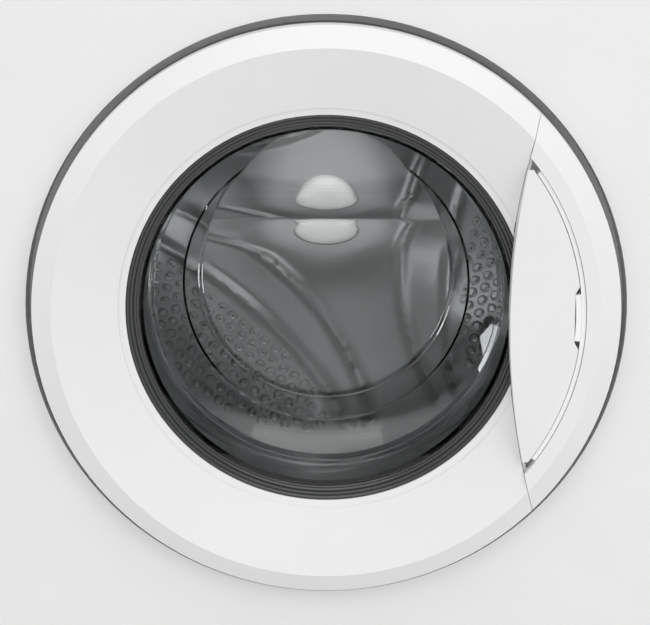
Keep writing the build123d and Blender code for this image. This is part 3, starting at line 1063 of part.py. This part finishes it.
# ---------------------------------------------------------------- export
nodes = {
    "cabinet_wrapper": cabinet_wrapper, "front_panel": front_panel, "back_panel": back_panel, "worktop": worktop,
    "base_pan": base_pan, "top_rail": top_rail, "kick_panel": kick_panel,
    "filter_flap": filter_flap, "pump_housing": pump_housing, "pump_impeller": pump_impeller,
    "filter_cap": filter_cap, "control_panel": control_panel, "display_window": display_window,
    "control_board": control_board, "program_knob": program_knob,
    "drawer_front": drawer_front, "detergent_tray": detergent_tray,
    "dispenser_housing": dispenser_housing, "inlet_valve": inlet_valve, "door_outer_ring": door_outer_ring,
    "door_grip_base": door_grip_base, "door_handle": door_handle, "handle_pin": handle_pin,
    "latch_hook": latch_hook,
    "door_inner_frame": door_inner_frame, "door_screws": door_screws, "door_glass": door_glass,
    "hinge_bracket": hinge_bracket, "door_hinge_plate": door_hinge_plate, "hinge_pin": hinge_pin,
    "door_lock": door_lock, "door_gasket": door_gasket,
    "tub_front": tub_front,
    "tub_rear": tub_rear, "tub_bolts": tub_bolts, "counterweight_front": counterweight_front,
    "counterweight_top": counterweight_top, "counterweight_bolts": counterweight_bolts, "heater": heater,
    "suspension_springs": suspension_springs,
    "damper_cylinders": damper_cylinders, "damper_rods": damper_rods, "bearings": bearings,
    "drum": drum, "drum_back": drum_back,
    "drum_lifters": drum_lifters, "spider_shaft": spider_shaft, "drum_pulley": drum_pulley,
    "motor_housing": motor_housing, "motor_rotor": motor_rotor,
    "drive_belt": drive_belt, "tub_hoses": tub_hoses, "water_hoses": water_hoses,
}
nodes.update(feet)
nodes.update(buttons)

os.makedirs("parts", exist_ok=True)
for name, built in nodes.items():
    built.part.label = name
    export_step(built.part, "parts/%s.step" % name)
print(len(nodes), "nodes")
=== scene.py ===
import bpy
import bmesh
import json
from math import atan2, cos, exp, pi, radians, sin, sqrt
from mathutils import Matrix, Vector


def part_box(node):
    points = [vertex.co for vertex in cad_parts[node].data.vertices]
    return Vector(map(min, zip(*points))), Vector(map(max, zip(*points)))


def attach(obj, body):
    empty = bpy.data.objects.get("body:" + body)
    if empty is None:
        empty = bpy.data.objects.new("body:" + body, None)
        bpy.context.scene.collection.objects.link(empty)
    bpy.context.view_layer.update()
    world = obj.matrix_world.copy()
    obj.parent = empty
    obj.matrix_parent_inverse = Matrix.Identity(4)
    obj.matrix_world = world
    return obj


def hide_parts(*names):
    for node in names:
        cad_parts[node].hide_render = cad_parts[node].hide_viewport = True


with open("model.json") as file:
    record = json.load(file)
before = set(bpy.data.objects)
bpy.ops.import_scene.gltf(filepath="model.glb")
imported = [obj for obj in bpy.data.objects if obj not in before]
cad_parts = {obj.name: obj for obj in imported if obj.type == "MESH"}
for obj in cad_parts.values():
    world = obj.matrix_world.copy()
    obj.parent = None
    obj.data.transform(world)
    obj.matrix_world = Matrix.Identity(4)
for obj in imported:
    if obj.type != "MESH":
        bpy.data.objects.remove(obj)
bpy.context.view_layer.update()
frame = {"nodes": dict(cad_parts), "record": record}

record = frame["record"]
nodes = frame["nodes"]
scene = bpy.context.scene

# ---------------------------------------------------------------- finishes


def new_material(name):
    """Empty node material with a Principled shader wired to its output; returns the material, its tree and the
    shader.
    """
    mat = bpy.data.materials.new(name)
    mat.use_nodes = True
    tree = mat.node_tree
    tree.nodes.clear()
    out = tree.nodes.new("ShaderNodeOutputMaterial")
    shader = tree.nodes.new("ShaderNodeBsdfPrincipled")
    tree.links.new(shader.outputs[0], out.inputs[0])
    return mat, tree, shader


def noise(tree, scale, detail=3.0, stretch=None):
    """Noise over the object's own coordinates, in metres."""
    coord = tree.nodes.new("ShaderNodeTexCoord")
    tex = tree.nodes.new("ShaderNodeTexNoise")
    tex.inputs["Scale"].default_value = scale
    tex.inputs["Detail"].default_value = detail
    source = coord.outputs["Object"]
    if stretch:
        mapping = tree.nodes.new("ShaderNodeMapping")
        mapping.inputs["Scale"].default_value = stretch
        tree.links.new(source, mapping.inputs["Vector"])
        source = mapping.outputs["Vector"]
    tree.links.new(source, tex.inputs["Vector"])
    return tex.outputs["Fac"]


def ramp(tree, fac, low, high, a=0.35, b=0.65):
    """Colour between two values by a factor."""
    node = tree.nodes.new("ShaderNodeValToRGB")
    node.color_ramp.elements[0].position = a
    node.color_ramp.elements[1].position = b
    node.color_ramp.elements[0].color = low
    node.color_ramp.elements[1].color = high
    tree.links.new(fac, node.inputs["Fac"])
    return node.outputs["Color"]


def spread(tree, fac, low, high):
    """Number between two values by a factor."""
    node = tree.nodes.new("ShaderNodeMapRange")
    node.inputs["To Min"].default_value = low
    node.inputs["To Max"].default_value = high
    tree.links.new(fac, node.inputs["Value"])
    return node.outputs["Result"]


def bump(tree, shader, height, distance, strength=1.0):
    """Fine relief on the surface."""
    node = tree.nodes.new("ShaderNodeBump")
    node.inputs["Distance"].default_value = distance
    node.inputs["Strength"].default_value = strength
    tree.links.new(height, node.inputs["Height"])
    tree.links.new(node.outputs["Normal"], shader.inputs["Normal"])


def shade(colour, factor):
    return tuple(c * factor for c in colour[:3]) + (1.0,)


def finish(name, colour, rough, grain=900.0, depth=0.00002, metal=0.0, vary=0.03, stretch=None, coat=0.0):
    """General finish: small colour and gloss changes and a fine relief."""
    mat, tree, shader = new_material(name)
    cloud = noise(tree, 14.0, 4.0)
    tree.links.new(ramp(tree, cloud, shade(colour, 1 - vary), shade(colour, 1.0)), shader.inputs["Base Color"])
    fine = noise(tree, grain, 2.0, stretch)
    tree.links.new(spread(tree, fine, rough * 0.85, min(1.0, rough * 1.15)), shader.inputs["Roughness"])
    shader.inputs["Metallic"].default_value = metal
    shader.inputs["Coat Weight"].default_value = coat
    bump(tree, shader, fine, depth)
    return mat


MATS = {
    "white_enamel": finish("white_enamel", (0.84, 0.84, 0.838), 0.35, 700.0, 0.000008, coat=0.15, vary=0.015),
    "white_plastic": finish("white_plastic", (0.83, 0.83, 0.828), 0.36, 1500.0, 0.000004, vary=0.015),
    "light_plastic": finish("light_plastic", (0.6, 0.61, 0.62), 0.5, 1500.0, 0.00003),
    "dark_plastic": finish("dark_plastic", (0.11, 0.111, 0.113), 0.4, 1500.0, 0.00002),
    "display": finish("display", (0.012, 0.013, 0.016), 0.1, 600.0, 0.000002, coat=0.5),
    "board": finish("board", (0.02, 0.16, 0.07), 0.4, 600.0, 0.00002),
    "grey_rubber": finish("grey_rubber", (0.09, 0.092, 0.095), 0.55, 1200.0, 0.00004),
    "black_rubber": finish("black_rubber", (0.02, 0.02, 0.021), 0.6, 1200.0, 0.00005),
    "stainless": finish("stainless", (0.56, 0.56, 0.565), 0.36, 260.0, 0.000003, metal=1.0, stretch=(1.0, 14.0, 1.0)),
    "zinc_steel": finish("zinc_steel", (0.55, 0.56, 0.57), 0.38, 260.0, 0.00002, metal=1.0, vary=0.12),
    "tub_plastic": finish("tub_plastic", (0.42, 0.44, 0.45), 0.55, 900.0, 0.00005),
    "concrete": finish("concrete", (0.33, 0.32, 0.3), 0.9, 160.0, 0.0004, vary=0.25),
    "cast_alloy": finish("cast_alloy", (0.58, 0.585, 0.59), 0.5, 420.0, 0.00012, metal=1.0, vary=0.1),
    "motor_case": finish("motor_case", (0.07, 0.07, 0.075), 0.45, 500.0, 0.00004, metal=0.3),
    "laminate": finish("laminate", (0.84, 0.84, 0.835), 0.42, 600.0, 0.00003),
}


def glass_material(name, tint, rough):
    """Clear pressed glass with a faint waviness."""
    mat, tree, shader = new_material(name)
    shader.inputs["Base Color"].default_value = tint
    shader.inputs["Transmission Weight"].default_value = 1.0
    shader.inputs["IOR"].default_value = 1.5
    wave = noise(tree, 18.0, 1.0)
    tree.links.new(spread(tree, wave, rough, rough * 2.0), shader.inputs["Roughness"])
    bump(tree, shader, wave, 0.00012)
    return mat


MATS["bowl_glass"] = glass_material("bowl_glass", (0.93, 0.96, 0.96, 1.0), 0.01)

# Near black for the discs that close the drum holes: painted shadow of the hole's inside.
MATS["hole_shadow"] = finish("hole_shadow", (0.02, 0.02, 0.021), 0.7, 900.0, 0.00002)
MATS["hub_cover"] = finish("hub_cover", (0.22, 0.22, 0.218), 0.45, 900.0, 0.000006, vary=0.04)
MATS["print_grey"] = finish("print_grey", (0.2, 0.2, 0.205), 0.5, 900.0, 0.000004)
MATS["display_glow"] = finish("display_glow", (0.7, 0.82, 0.85), 0.4, 900.0, 0.000002)
glow = MATS["display_glow"].node_tree.nodes["Principled BSDF"]
glow.inputs["Emission Color"].default_value = (0.7, 0.9, 1.0, 1.0)
glow.inputs["Emission Strength"].default_value = 1.1
# Whiter than the door's own white: painted light that brightens the shaded handle slot.
MATS["slot_painted_light"] = finish("slot_painted_light", (0.95, 0.95, 0.948), 0.4, 1500.0, 0.000004, vary=0.01)
MATS["seal_gloss"] = finish("seal_gloss", (0.036, 0.037, 0.039), 0.22, 700.0, 0.000006, coat=0.4)

for entry in record["subparts"]:
    o = nodes[entry["node"]]
    o.data.materials.clear()
    o.data.materials.append(MATS[entry["material_slot"]])

# ---------------------------------------------------------------- places
door_lo, door_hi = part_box("door_outer_ring")
back_lo, back_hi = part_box("drum_back")
drum_lo, drum_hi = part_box("drum")
glass_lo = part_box("door_glass")[0]
AXIS_Z = (door_lo[2] + door_hi[2]) / 2
DOOR_FRONT = door_lo[1]
DRUM_R = (drum_hi[2] - drum_lo[2]) / 2
WALL_R = DRUM_R - 0.001

# ---------------------------------------------------------------- modelling


def piece_from(bm, name, body, mats, smooth_angle=35.0, closed=True):
    """Turn a bmesh into a named piece that rides on a body."""
    bmesh.ops.remove_doubles(bm, verts=bm.verts, dist=0.000002)
    if closed:
        bmesh.ops.recalc_face_normals(bm, faces=bm.faces)
    mesh = bpy.data.meshes.new(name)
    bm.to_mesh(mesh)
    bm.free()
    mesh.shade_smooth()
    mesh.set_sharp_from_angle(angle=radians(smooth_angle))
    for m in mats:
        mesh.materials.append(m)
    o = bpy.data.objects.new(name, mesh)
    scene.collection.objects.link(o)
    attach(o, body)
    return o


def spun(bm, outline, steps=128, centre=(0.0, 0.0, 0.0), closed=True):
    """Spin an outline of (radius, y) points about an axis along Y and return the new faces."""
    verts = [bm.verts.new((centre[0] + r, centre[1] + y, centre[2])) for r, y in outline]
    edges = [bm.edges.new((verts[i], verts[i + 1])) for i in range(len(verts) - 1)]
    if closed:
        edges.append(bm.edges.new((verts[-1], verts[0])))
    before = set(bm.faces)
    bmesh.ops.spin(bm, geom=verts + edges, cent=centre, axis=(0, 1, 0), angle=2 * pi, steps=steps, use_merge=True)
    return [f for f in bm.faces if f not in before]


def corners_of(parts):
    """The vertices among a set of mesh parts."""
    return [v for v in parts if isinstance(v, bmesh.types.BMVert)]


def middle(lo, hi):
    """Centre of a box across and up."""
    return (lo[0] + hi[0]) / 2, (lo[2] + hi[2]) / 2


# ---------------------------------------------------------------- window seal
SEAL_Y = glass_lo[1]
bm = bmesh.new()
seal = [(0.1608, -0.0002), (0.1608, -0.0040), (0.1596, -0.0046), (0.1584, -0.0040), (0.1578, -0.0026),
        (0.1566, -0.0031), (0.1556, -0.0026), (0.1550, -0.0012), (0.1540, -0.0017), (0.1530, -0.0012),
        (0.1524, -0.0004), (0.1515, -0.0008), (0.1506, -0.0002)]
spun(bm, [(r, SEAL_Y + y) for r, y in seal], 180, (0, 0, AXIS_Z))
piece_from(bm, "window_seal", "door", [MATS["seal_gloss"]], 50.0)

# ---------------------------------------------------------------- strip in the handle slot, whiter than the door to paint light into the shaded slot
handle_lo, handle_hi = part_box("door_handle")
SLOT_R = 0.207
SLOT_W = 0.0044
SLOT_HALF = (handle_hi[2] - handle_lo[2]) / 2 - 0.0012
NOTCH_HALF, NOTCH_DEEP = 0.0195, 0.0050


def arc_bar(bm, r0, r1, y0, y1, z0, z1, steps):
    """Bar of square section bent round the door axis between two heights, right of the axis."""
    a0, a1 = (sqrt(1 - (z / r1) ** 2) for z in (z0, z1))
    start, end = atan2(z0 / r1, a0), atan2(z1 / r1, a1)
    corners = [(r0, y0), (r1, y0), (r1, y1), (r0, y1)]
    verts = [bm.verts.new((r * cos(start), y, AXIS_Z + r * sin(start))) for r, y in corners]
    edges = [bm.edges.new((verts[i], verts[(i + 1) % 4])) for i in range(4)]
    bmesh.ops.spin(bm, geom=verts + edges, cent=(0, 0, AXIS_Z), axis=(0, 1, 0), angle=start - end, steps=steps)
    bmesh.ops.holes_fill(bm, edges=[e for e in bm.edges if e.is_boundary], sides=4)


bm = bmesh.new()
SLOT_FACE = handle_lo[1] + 0.0016
arc_bar(bm, SLOT_R - SLOT_W + 0.0006, SLOT_R - 0.0004, SLOT_FACE, SLOT_FACE + 0.009, -SLOT_HALF, SLOT_HALF, 64)
arc_bar(bm, SLOT_R - SLOT_W - NOTCH_DEEP + 0.0010, SLOT_R - SLOT_W + 0.0005, SLOT_FACE + 0.0006, SLOT_FACE + 0.009,
        -NOTCH_HALF, NOTCH_HALF, 16)
piece_from(bm, "slot_strip", "door", [MATS["slot_painted_light"]], 40.0)

# ---------------------------------------------------------------- drum back
LOBES = [radians(a) for a in (229.5, 349.5, 109.5)]
LOBE_FAR, LOBE_R = 0.490, 0.370  # centre and radius of the outer rib, which also bounds the holes
RIBS = ((0.334, 0.260, 0.0062), (LOBE_FAR, LOBE_R, 0.0058))  # centre distance, radius, height
RIB_WIDTH = 0.0044
HOLE_PITCH = 0.0128
FIRST_ROW = 0.129  # first row of holes from the axis
HOLE_EDGE = 0.012  # clear strip beside a rib and the wall
HUB_FLAT = 0.045  # radius of the flat middle of the pressed back
DISH_SPAN = 0.165  # the dish is full this far outside it
SHEET = 0.0009


def dish(r):
    """Depth of the pressed back at a radius, from its front face."""
    t = min(1.0, max(0.0, (r - HUB_FLAT) / DISH_SPAN))
    return (back_hi[1] - 0.001 - back_lo[1]) * t * t * (3 - 2 * t)


def relief(x, z):
    """Height of the pressed ribs at a place on the back."""
    high = 0.0
    for turn in LOBES:
        for far, radius, lift in RIBS:
            off = sqrt((x - far * cos(turn)) ** 2 + (z - far * sin(turn)) ** 2) - radius
            high += lift * exp(-(off / RIB_WIDTH) ** 2)
    return high * min(1.0, max(0.0, (WALL_R - 0.006 - sqrt(x * x + z * z)) / 0.012))


bm = bmesh.new()
front = [(WALL_R * i / 70, 0.0) for i in range(71)]
sheet = front + [(r, SHEET) for r, y in reversed(front)]
spun(bm, sheet, 200, (0, 0, AXIS_Z))
for v in bm.verts:
    x, z = v.co.x, v.co.z - AXIS_Z
    v.co.y += back_lo[1] + dish(sqrt(x * x + z * z)) - relief(x, z)
pressed = piece_from(bm, "pressed_drum_back", "drum_set", [MATS["stainless"]], 60.0)
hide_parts("drum_back")


def crater(bm, steps):
    """One flared hole at the origin, facing -Y: a raised lip round a dark disc of painted shadow that closes the
    hole.
    """
    faces = spun(bm, [(0.0054, 0.0004), (0.0042, -0.0016), (0.0031, -0.0013), (0.0022, 0.0003)], steps, closed=False)
    rim = [e for e in bm.edges if e.is_boundary and all(v.co.x ** 2 + v.co.z ** 2 < 0.0025 ** 2 for v in e.verts)]
    shadow_disc = bmesh.ops.contextual_create(bm, geom=rim)["faces"]
    for f in shadow_disc:
        f.material_index = 1
    return faces


bm = bmesh.new()
crater(bm, 10)
bmesh.ops.remove_doubles(bm, verts=bm.verts, dist=0.000002)
one = bm.verts[:] + bm.edges[:] + bm.faces[:]
for turn in LOBES:
    across, along = Vector((cos(turn), 0, sin(turn))), Vector((-sin(turn), 0, cos(turn)))
    for row in range(12):
        for col in range(-17, 18):
            place = across * (FIRST_ROW + row * HOLE_PITCH * 0.866) + along * ((col + 0.5 * (row % 2)) * HOLE_PITCH)
            off = sqrt((place.x - LOBE_FAR * cos(turn)) ** 2 + (place.z - LOBE_FAR * sin(turn)) ** 2) - LOBE_R
            if off > -HOLE_EDGE or place.length > WALL_R - HOLE_EDGE:
                continue
            copy = bmesh.ops.duplicate(bm, geom=one)["geom"]
            shift = place + Vector((0, back_lo[1] + dish(place.length) - relief(place.x, place.z), AXIS_Z))
            bmesh.ops.translate(bm, verts=corners_of(copy), vec=shift)
bmesh.ops.delete(bm, geom=corners_of(one), context="VERTS")
piece_from(bm, "back_holes", "drum_set", [MATS["stainless"], MATS["hole_shadow"]], 70.0, closed=False)

# ---------------------------------------------------------------- drum wall holes
COLUMNS, ROW_PITCH = 96, 0.0135
bm = bmesh.new()
crater(bm, 8)
bmesh.ops.remove_doubles(bm, verts=bm.verts, dist=0.000002)
first = bm.verts[:]
one = bm.verts[:] + bm.edges[:] + bm.faces[:]
bmesh.ops.rotate(bm, verts=first, cent=(0, 0, 0), matrix=Matrix.Rotation(-pi / 2, 3, "X"))
rows = int((drum_hi[1] - drum_lo[1] - 0.060) / ROW_PITCH)
bmesh.ops.translate(bm, verts=first, vec=(0, drum_lo[1] + 0.032, AXIS_Z - WALL_R + 0.0002))
column = list(one)
for row in range(1, rows):
    copy = bmesh.ops.duplicate(bm, geom=one)["geom"]
    moved = corners_of(copy)
    bmesh.ops.translate(bm, verts=moved, vec=(0, row * ROW_PITCH, 0))
    if row % 2:
        bmesh.ops.rotate(bm, verts=moved, cent=(0, 0, AXIS_Z), matrix=Matrix.Rotation(pi / COLUMNS, 3, "Y"))
    column += copy
for k in range(1, COLUMNS):
    angle = 2 * pi * k / COLUMNS
    copy = bmesh.ops.duplicate(bm, geom=column)["geom"]
    moved = corners_of(copy)
    bmesh.ops.rotate(bm, verts=moved, cent=(0, 0, AXIS_Z), matrix=Matrix.Rotation(angle, 3, "Y"))
piece_from(bm, "wall_holes", "drum_set", [MATS["stainless"], MATS["hole_shadow"]], 70.0, closed=False)

# ---------------------------------------------------------------- hub cover
bm = bmesh.new()
cap_y = back_lo[1]
spun(bm, [(0.0, cap_y - 0.0125), (0.016, cap_y - 0.0122), (0.0245, cap_y - 0.0112), (0.0280, cap_y - 0.0090),
          (0.0292, cap_y - 0.0060), (0.0300, cap_y + 0.0004), (0.0, cap_y + 0.0004)], 64, (0, 0, AXIS_Z))
piece_from(bm, "hub_cover", "drum_set", [MATS["hub_cover"]], 40.0)

# ---------------------------------------------------------------- print and lights on the control panel
panel_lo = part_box("control_panel")[0]
knob_lo, knob_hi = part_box("program_knob")
screen_lo, screen_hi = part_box("display_window")
PRINT_T = 0.0002  # thickness of every printed mark
PRINT_Y = panel_lo[1] - 0.00012
KNOB_X, KNOB_Z = middle(knob_lo, knob_hi)
KNOB_R = (knob_hi[0] - knob_lo[0]) / 2


def bar(bm, x0, x1, z0, z1, front, thick):
    """Thin raised bar that faces -Y. Returns its corners."""
    verts = bmesh.ops.create_cube(bm, size=1.0)["verts"]
    bmesh.ops.scale(bm, verts=verts, vec=(x1 - x0, thick, z1 - z0))
    bmesh.ops.translate(bm, verts=verts, vec=((x0 + x1) / 2, front + thick / 2, (z0 + z1) / 2))
    return verts


bm = bmesh.new()
for k in range(16):
    far = KNOB_R + (0.0085 if k % 4 == 0 else 0.0068)
    half = 0.00055 if k % 4 == 0 else 0.00035
    verts = bar(bm, KNOB_X - half, KNOB_X + half, KNOB_Z + KNOB_R + 0.0042, KNOB_Z + far, PRINT_Y, PRINT_T)
    turn = Matrix.Rotation(2 * pi * k / 16, 3, "Y")
    bmesh.ops.rotate(bm, verts=verts, cent=(KNOB_X, 0, KNOB_Z), matrix=turn)
MARK_Z = 0.7895  # height of the two short lines above the buttons
for x0 in (0.206, 0.262):
    bar(bm, x0, x0 + 0.018, MARK_Z, MARK_Z + 0.0009, PRINT_Y, PRINT_T)
piece_from(bm, "panel_marks", "cabinet", [MATS["print_grey"]], 30.0)

SEGMENTS = {"1": "bc", "4": "bcfg", "0": "abcdef"}


def digit(bm, sign, x, z, w, h):
    """Seven bar figure on the display."""
    t = 0.0016
    mid = z + h / 2
    places = {"a": (x, x + w, z + h - t, z + h), "g": (x, x + w, mid - t / 2, mid + t / 2), "d": (x, x + w, z, z + t),
              "f": (x, x + t, mid, z + h), "b": (x + w - t, x + w, mid, z + h),
              "e": (x, x + t, z, mid), "c": (x + w - t, x + w, z, mid)}
    for part in SEGMENTS[sign]:
        x0, x1, z0, z1 = places[part]
        bar(bm, x0, x1, z0, z1, screen_lo[1] - PRINT_T / 2, PRINT_T)


bm = bmesh.new()
SCREEN_X, SCREEN_Z = middle(screen_lo, screen_hi)
for place, sign in ((-0.019, "1"), (0.0005, "4"), (0.0145, "0")):
    digit(bm, sign, SCREEN_X + place, SCREEN_Z - 0.0085, 0.0105, 0.017)
for dz in (-0.0035, 0.0025):
    bar(bm, SCREEN_X - 0.0052, SCREEN_X - 0.0036, SCREEN_Z + dz, SCREEN_Z + dz + 0.0016,
        screen_lo[1] - PRINT_T / 2, PRINT_T)
piece_from(bm, "display_figures", "cabinet", [MATS["display_glow"]], 30.0)

power_lo, power_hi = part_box("power_button")
start_lo, start_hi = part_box("start_button")
bm = bmesh.new()
px, pz = middle(power_lo, power_hi)
ring = [bm.verts.new((px + r * sin(radians(35)), power_lo[1] - y, pz + r * cos(radians(35))))
        for r, y in ((0.0036, -0.0001), (0.0036, 0.0001), (0.0044, 0.0001), (0.0044, -0.0001))]
loop = [bm.edges.new((ring[i], ring[(i + 1) % 4])) for i in range(4)]
bmesh.ops.spin(bm, geom=ring + loop, cent=(px, 0, pz), axis=(0, 1, 0), angle=radians(290), steps=40)
bmesh.ops.holes_fill(bm, edges=[e for e in bm.edges if e.is_boundary], sides=4)
bar(bm, px - 0.0004, px + 0.0004, pz + 0.0018, pz + 0.0056, power_lo[1] - PRINT_T / 2, PRINT_T)
piece_from(bm, "power_mark", "power_key", [MATS["print_grey"]], 40.0)

bm = bmesh.new()
sx, sz = middle(start_lo, start_hi)
tri = [bm.verts.new((sx + dx, start_lo[1] + PRINT_T / 2, sz + dz))
       for dx, dz in ((-0.0052, -0.0034), (-0.0052, 0.0034), (0.0002, 0))]
face = bm.faces.new(tri)
raised = bmesh.ops.extrude_face_region(bm, geom=[face])["geom"]
bmesh.ops.translate(bm, verts=corners_of(raised), vec=(0, -PRINT_T, 0))
for dx in (0.0018, 0.0040):
    bar(bm, sx + dx, sx + dx + 0.0011, sz - 0.0034, sz + 0.0034, start_lo[1] - PRINT_T / 2, PRINT_T)
piece_from(bm, "start_mark", "start_key", [MATS["print_grey"]], 40.0)

# ---------------------------------------------------------------- screws round the back panel
panel_back_lo, panel_back_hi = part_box("back_panel")
bm = bmesh.new()
span_x, low_z, high_z = panel_back_hi[0] - 0.012, panel_back_lo[2] + 0.014, panel_back_hi[2] - 0.014
spots = [(side * span_x, low_z + (high_z - low_z) * k / 4) for side in (-1, 1) for k in range(5)]
spots += [(x, z) for x in (-0.14, 0.14) for z in (low_z, high_z)]
for x, z in spots:
    y = panel_back_hi[1]
    spun(bm, [(0, y - 0.0002), (0.0042, y - 0.0002), (0.0042, y + 0.0008), (0.0034, y + 0.0017), (0.0012, y + 0.0021),
              (0.0012, y + 0.0012), (0, y + 0.0012)], 20, (x, 0, z))
piece_from(bm, "back_screws", "cabinet", [MATS["zinc_steel"]], 40.0)

# ---------------------------------------------------------------- stage
floor = bpy.data.objects.new("floor", bpy.data.meshes.new("floor"))
bm = bmesh.new()
bmesh.ops.create_grid(bm, x_segments=1, y_segments=1, size=6.0)
bm.to_mesh(floor.data)
bm.free()
scene.collection.objects.link(floor)
floor.data.materials.append(finish("floor_paint", (0.8, 0.8, 0.8), 0.6, 60.0, 0.00005))

world = bpy.data.worlds.new("studio")
world.use_nodes = True
world.node_tree.nodes["Background"].inputs[0].default_value = (1.0, 1.0, 1.0, 1.0)
world.node_tree.nodes["Background"].inputs[1].default_value = 0.755
scene.world = world
scene.view_settings.view_transform = "Standard"


def lamp(name, kind, place, aim, size, power, shape="RECTANGLE", size_y=None):
    """Area lamp at a place, turned to a point."""
    data = bpy.data.lights.new(name, kind)
    data.energy = power
    data.shape = shape
    data.size = size
    if size_y:
        data.size_y = size_y
    o = bpy.data.objects.new(name, data)
    o.location = place
    o.rotation_euler = (Vector(aim) - Vector(place)).to_track_quat("-Z", "Y").to_euler()
    scene.collection.objects.link(o)
    return o


lamp("soft_top", "AREA", (0.3, -1.6, 3.2), (0, -0.2, 0.4), 3.4, 28.0, size_y=2.4)
for lit in (lamp("soft_left", "AREA", (-2.4, -2.2, 1.4), (0, 0, 0.45), 1.6, 7.0, size_y=1.8),
            lamp("soft_right", "AREA", (2.4, -2.4, 1.6), (0, 0, 0.45), 1.6, 16.0, size_y=1.8)):
    lit.visible_glossy = False

inside = lamp("drum_light", "AREA", (0.0, drum_lo[1] + 0.03, AXIS_Z + 0.20), (0, back_hi[1], AXIS_Z - 0.08),
              0.26, 3.4, size_y=0.08)
inside.visible_camera = False
inside.visible_glossy = False

cam_data = bpy.data.cameras.new("camera")
cam = bpy.data.objects.new("camera", cam_data)
scene.collection.objects.link(cam)
scene.camera = cam
DISTANCE = 2.3
ELEVATION = radians(16.6)
DOOR_SHARE = 0.9077  # share of the view's width that the door ring takes
SPAN = (door_hi[2] - door_lo[2]) / DOOR_SHARE
centre = Vector((-0.0010, DOOR_FRONT + 0.010, AXIS_Z + 0.0028))
cam.location = centre + DISTANCE * Vector((0.0, -cos(ELEVATION), sin(ELEVATION)))
cam.rotation_euler = (centre - cam.location).to_track_quat("-Z", "Y").to_euler()
cam_data.sensor_width = 36.0
cam_data.lens = 36.0 * DISTANCE / SPAN
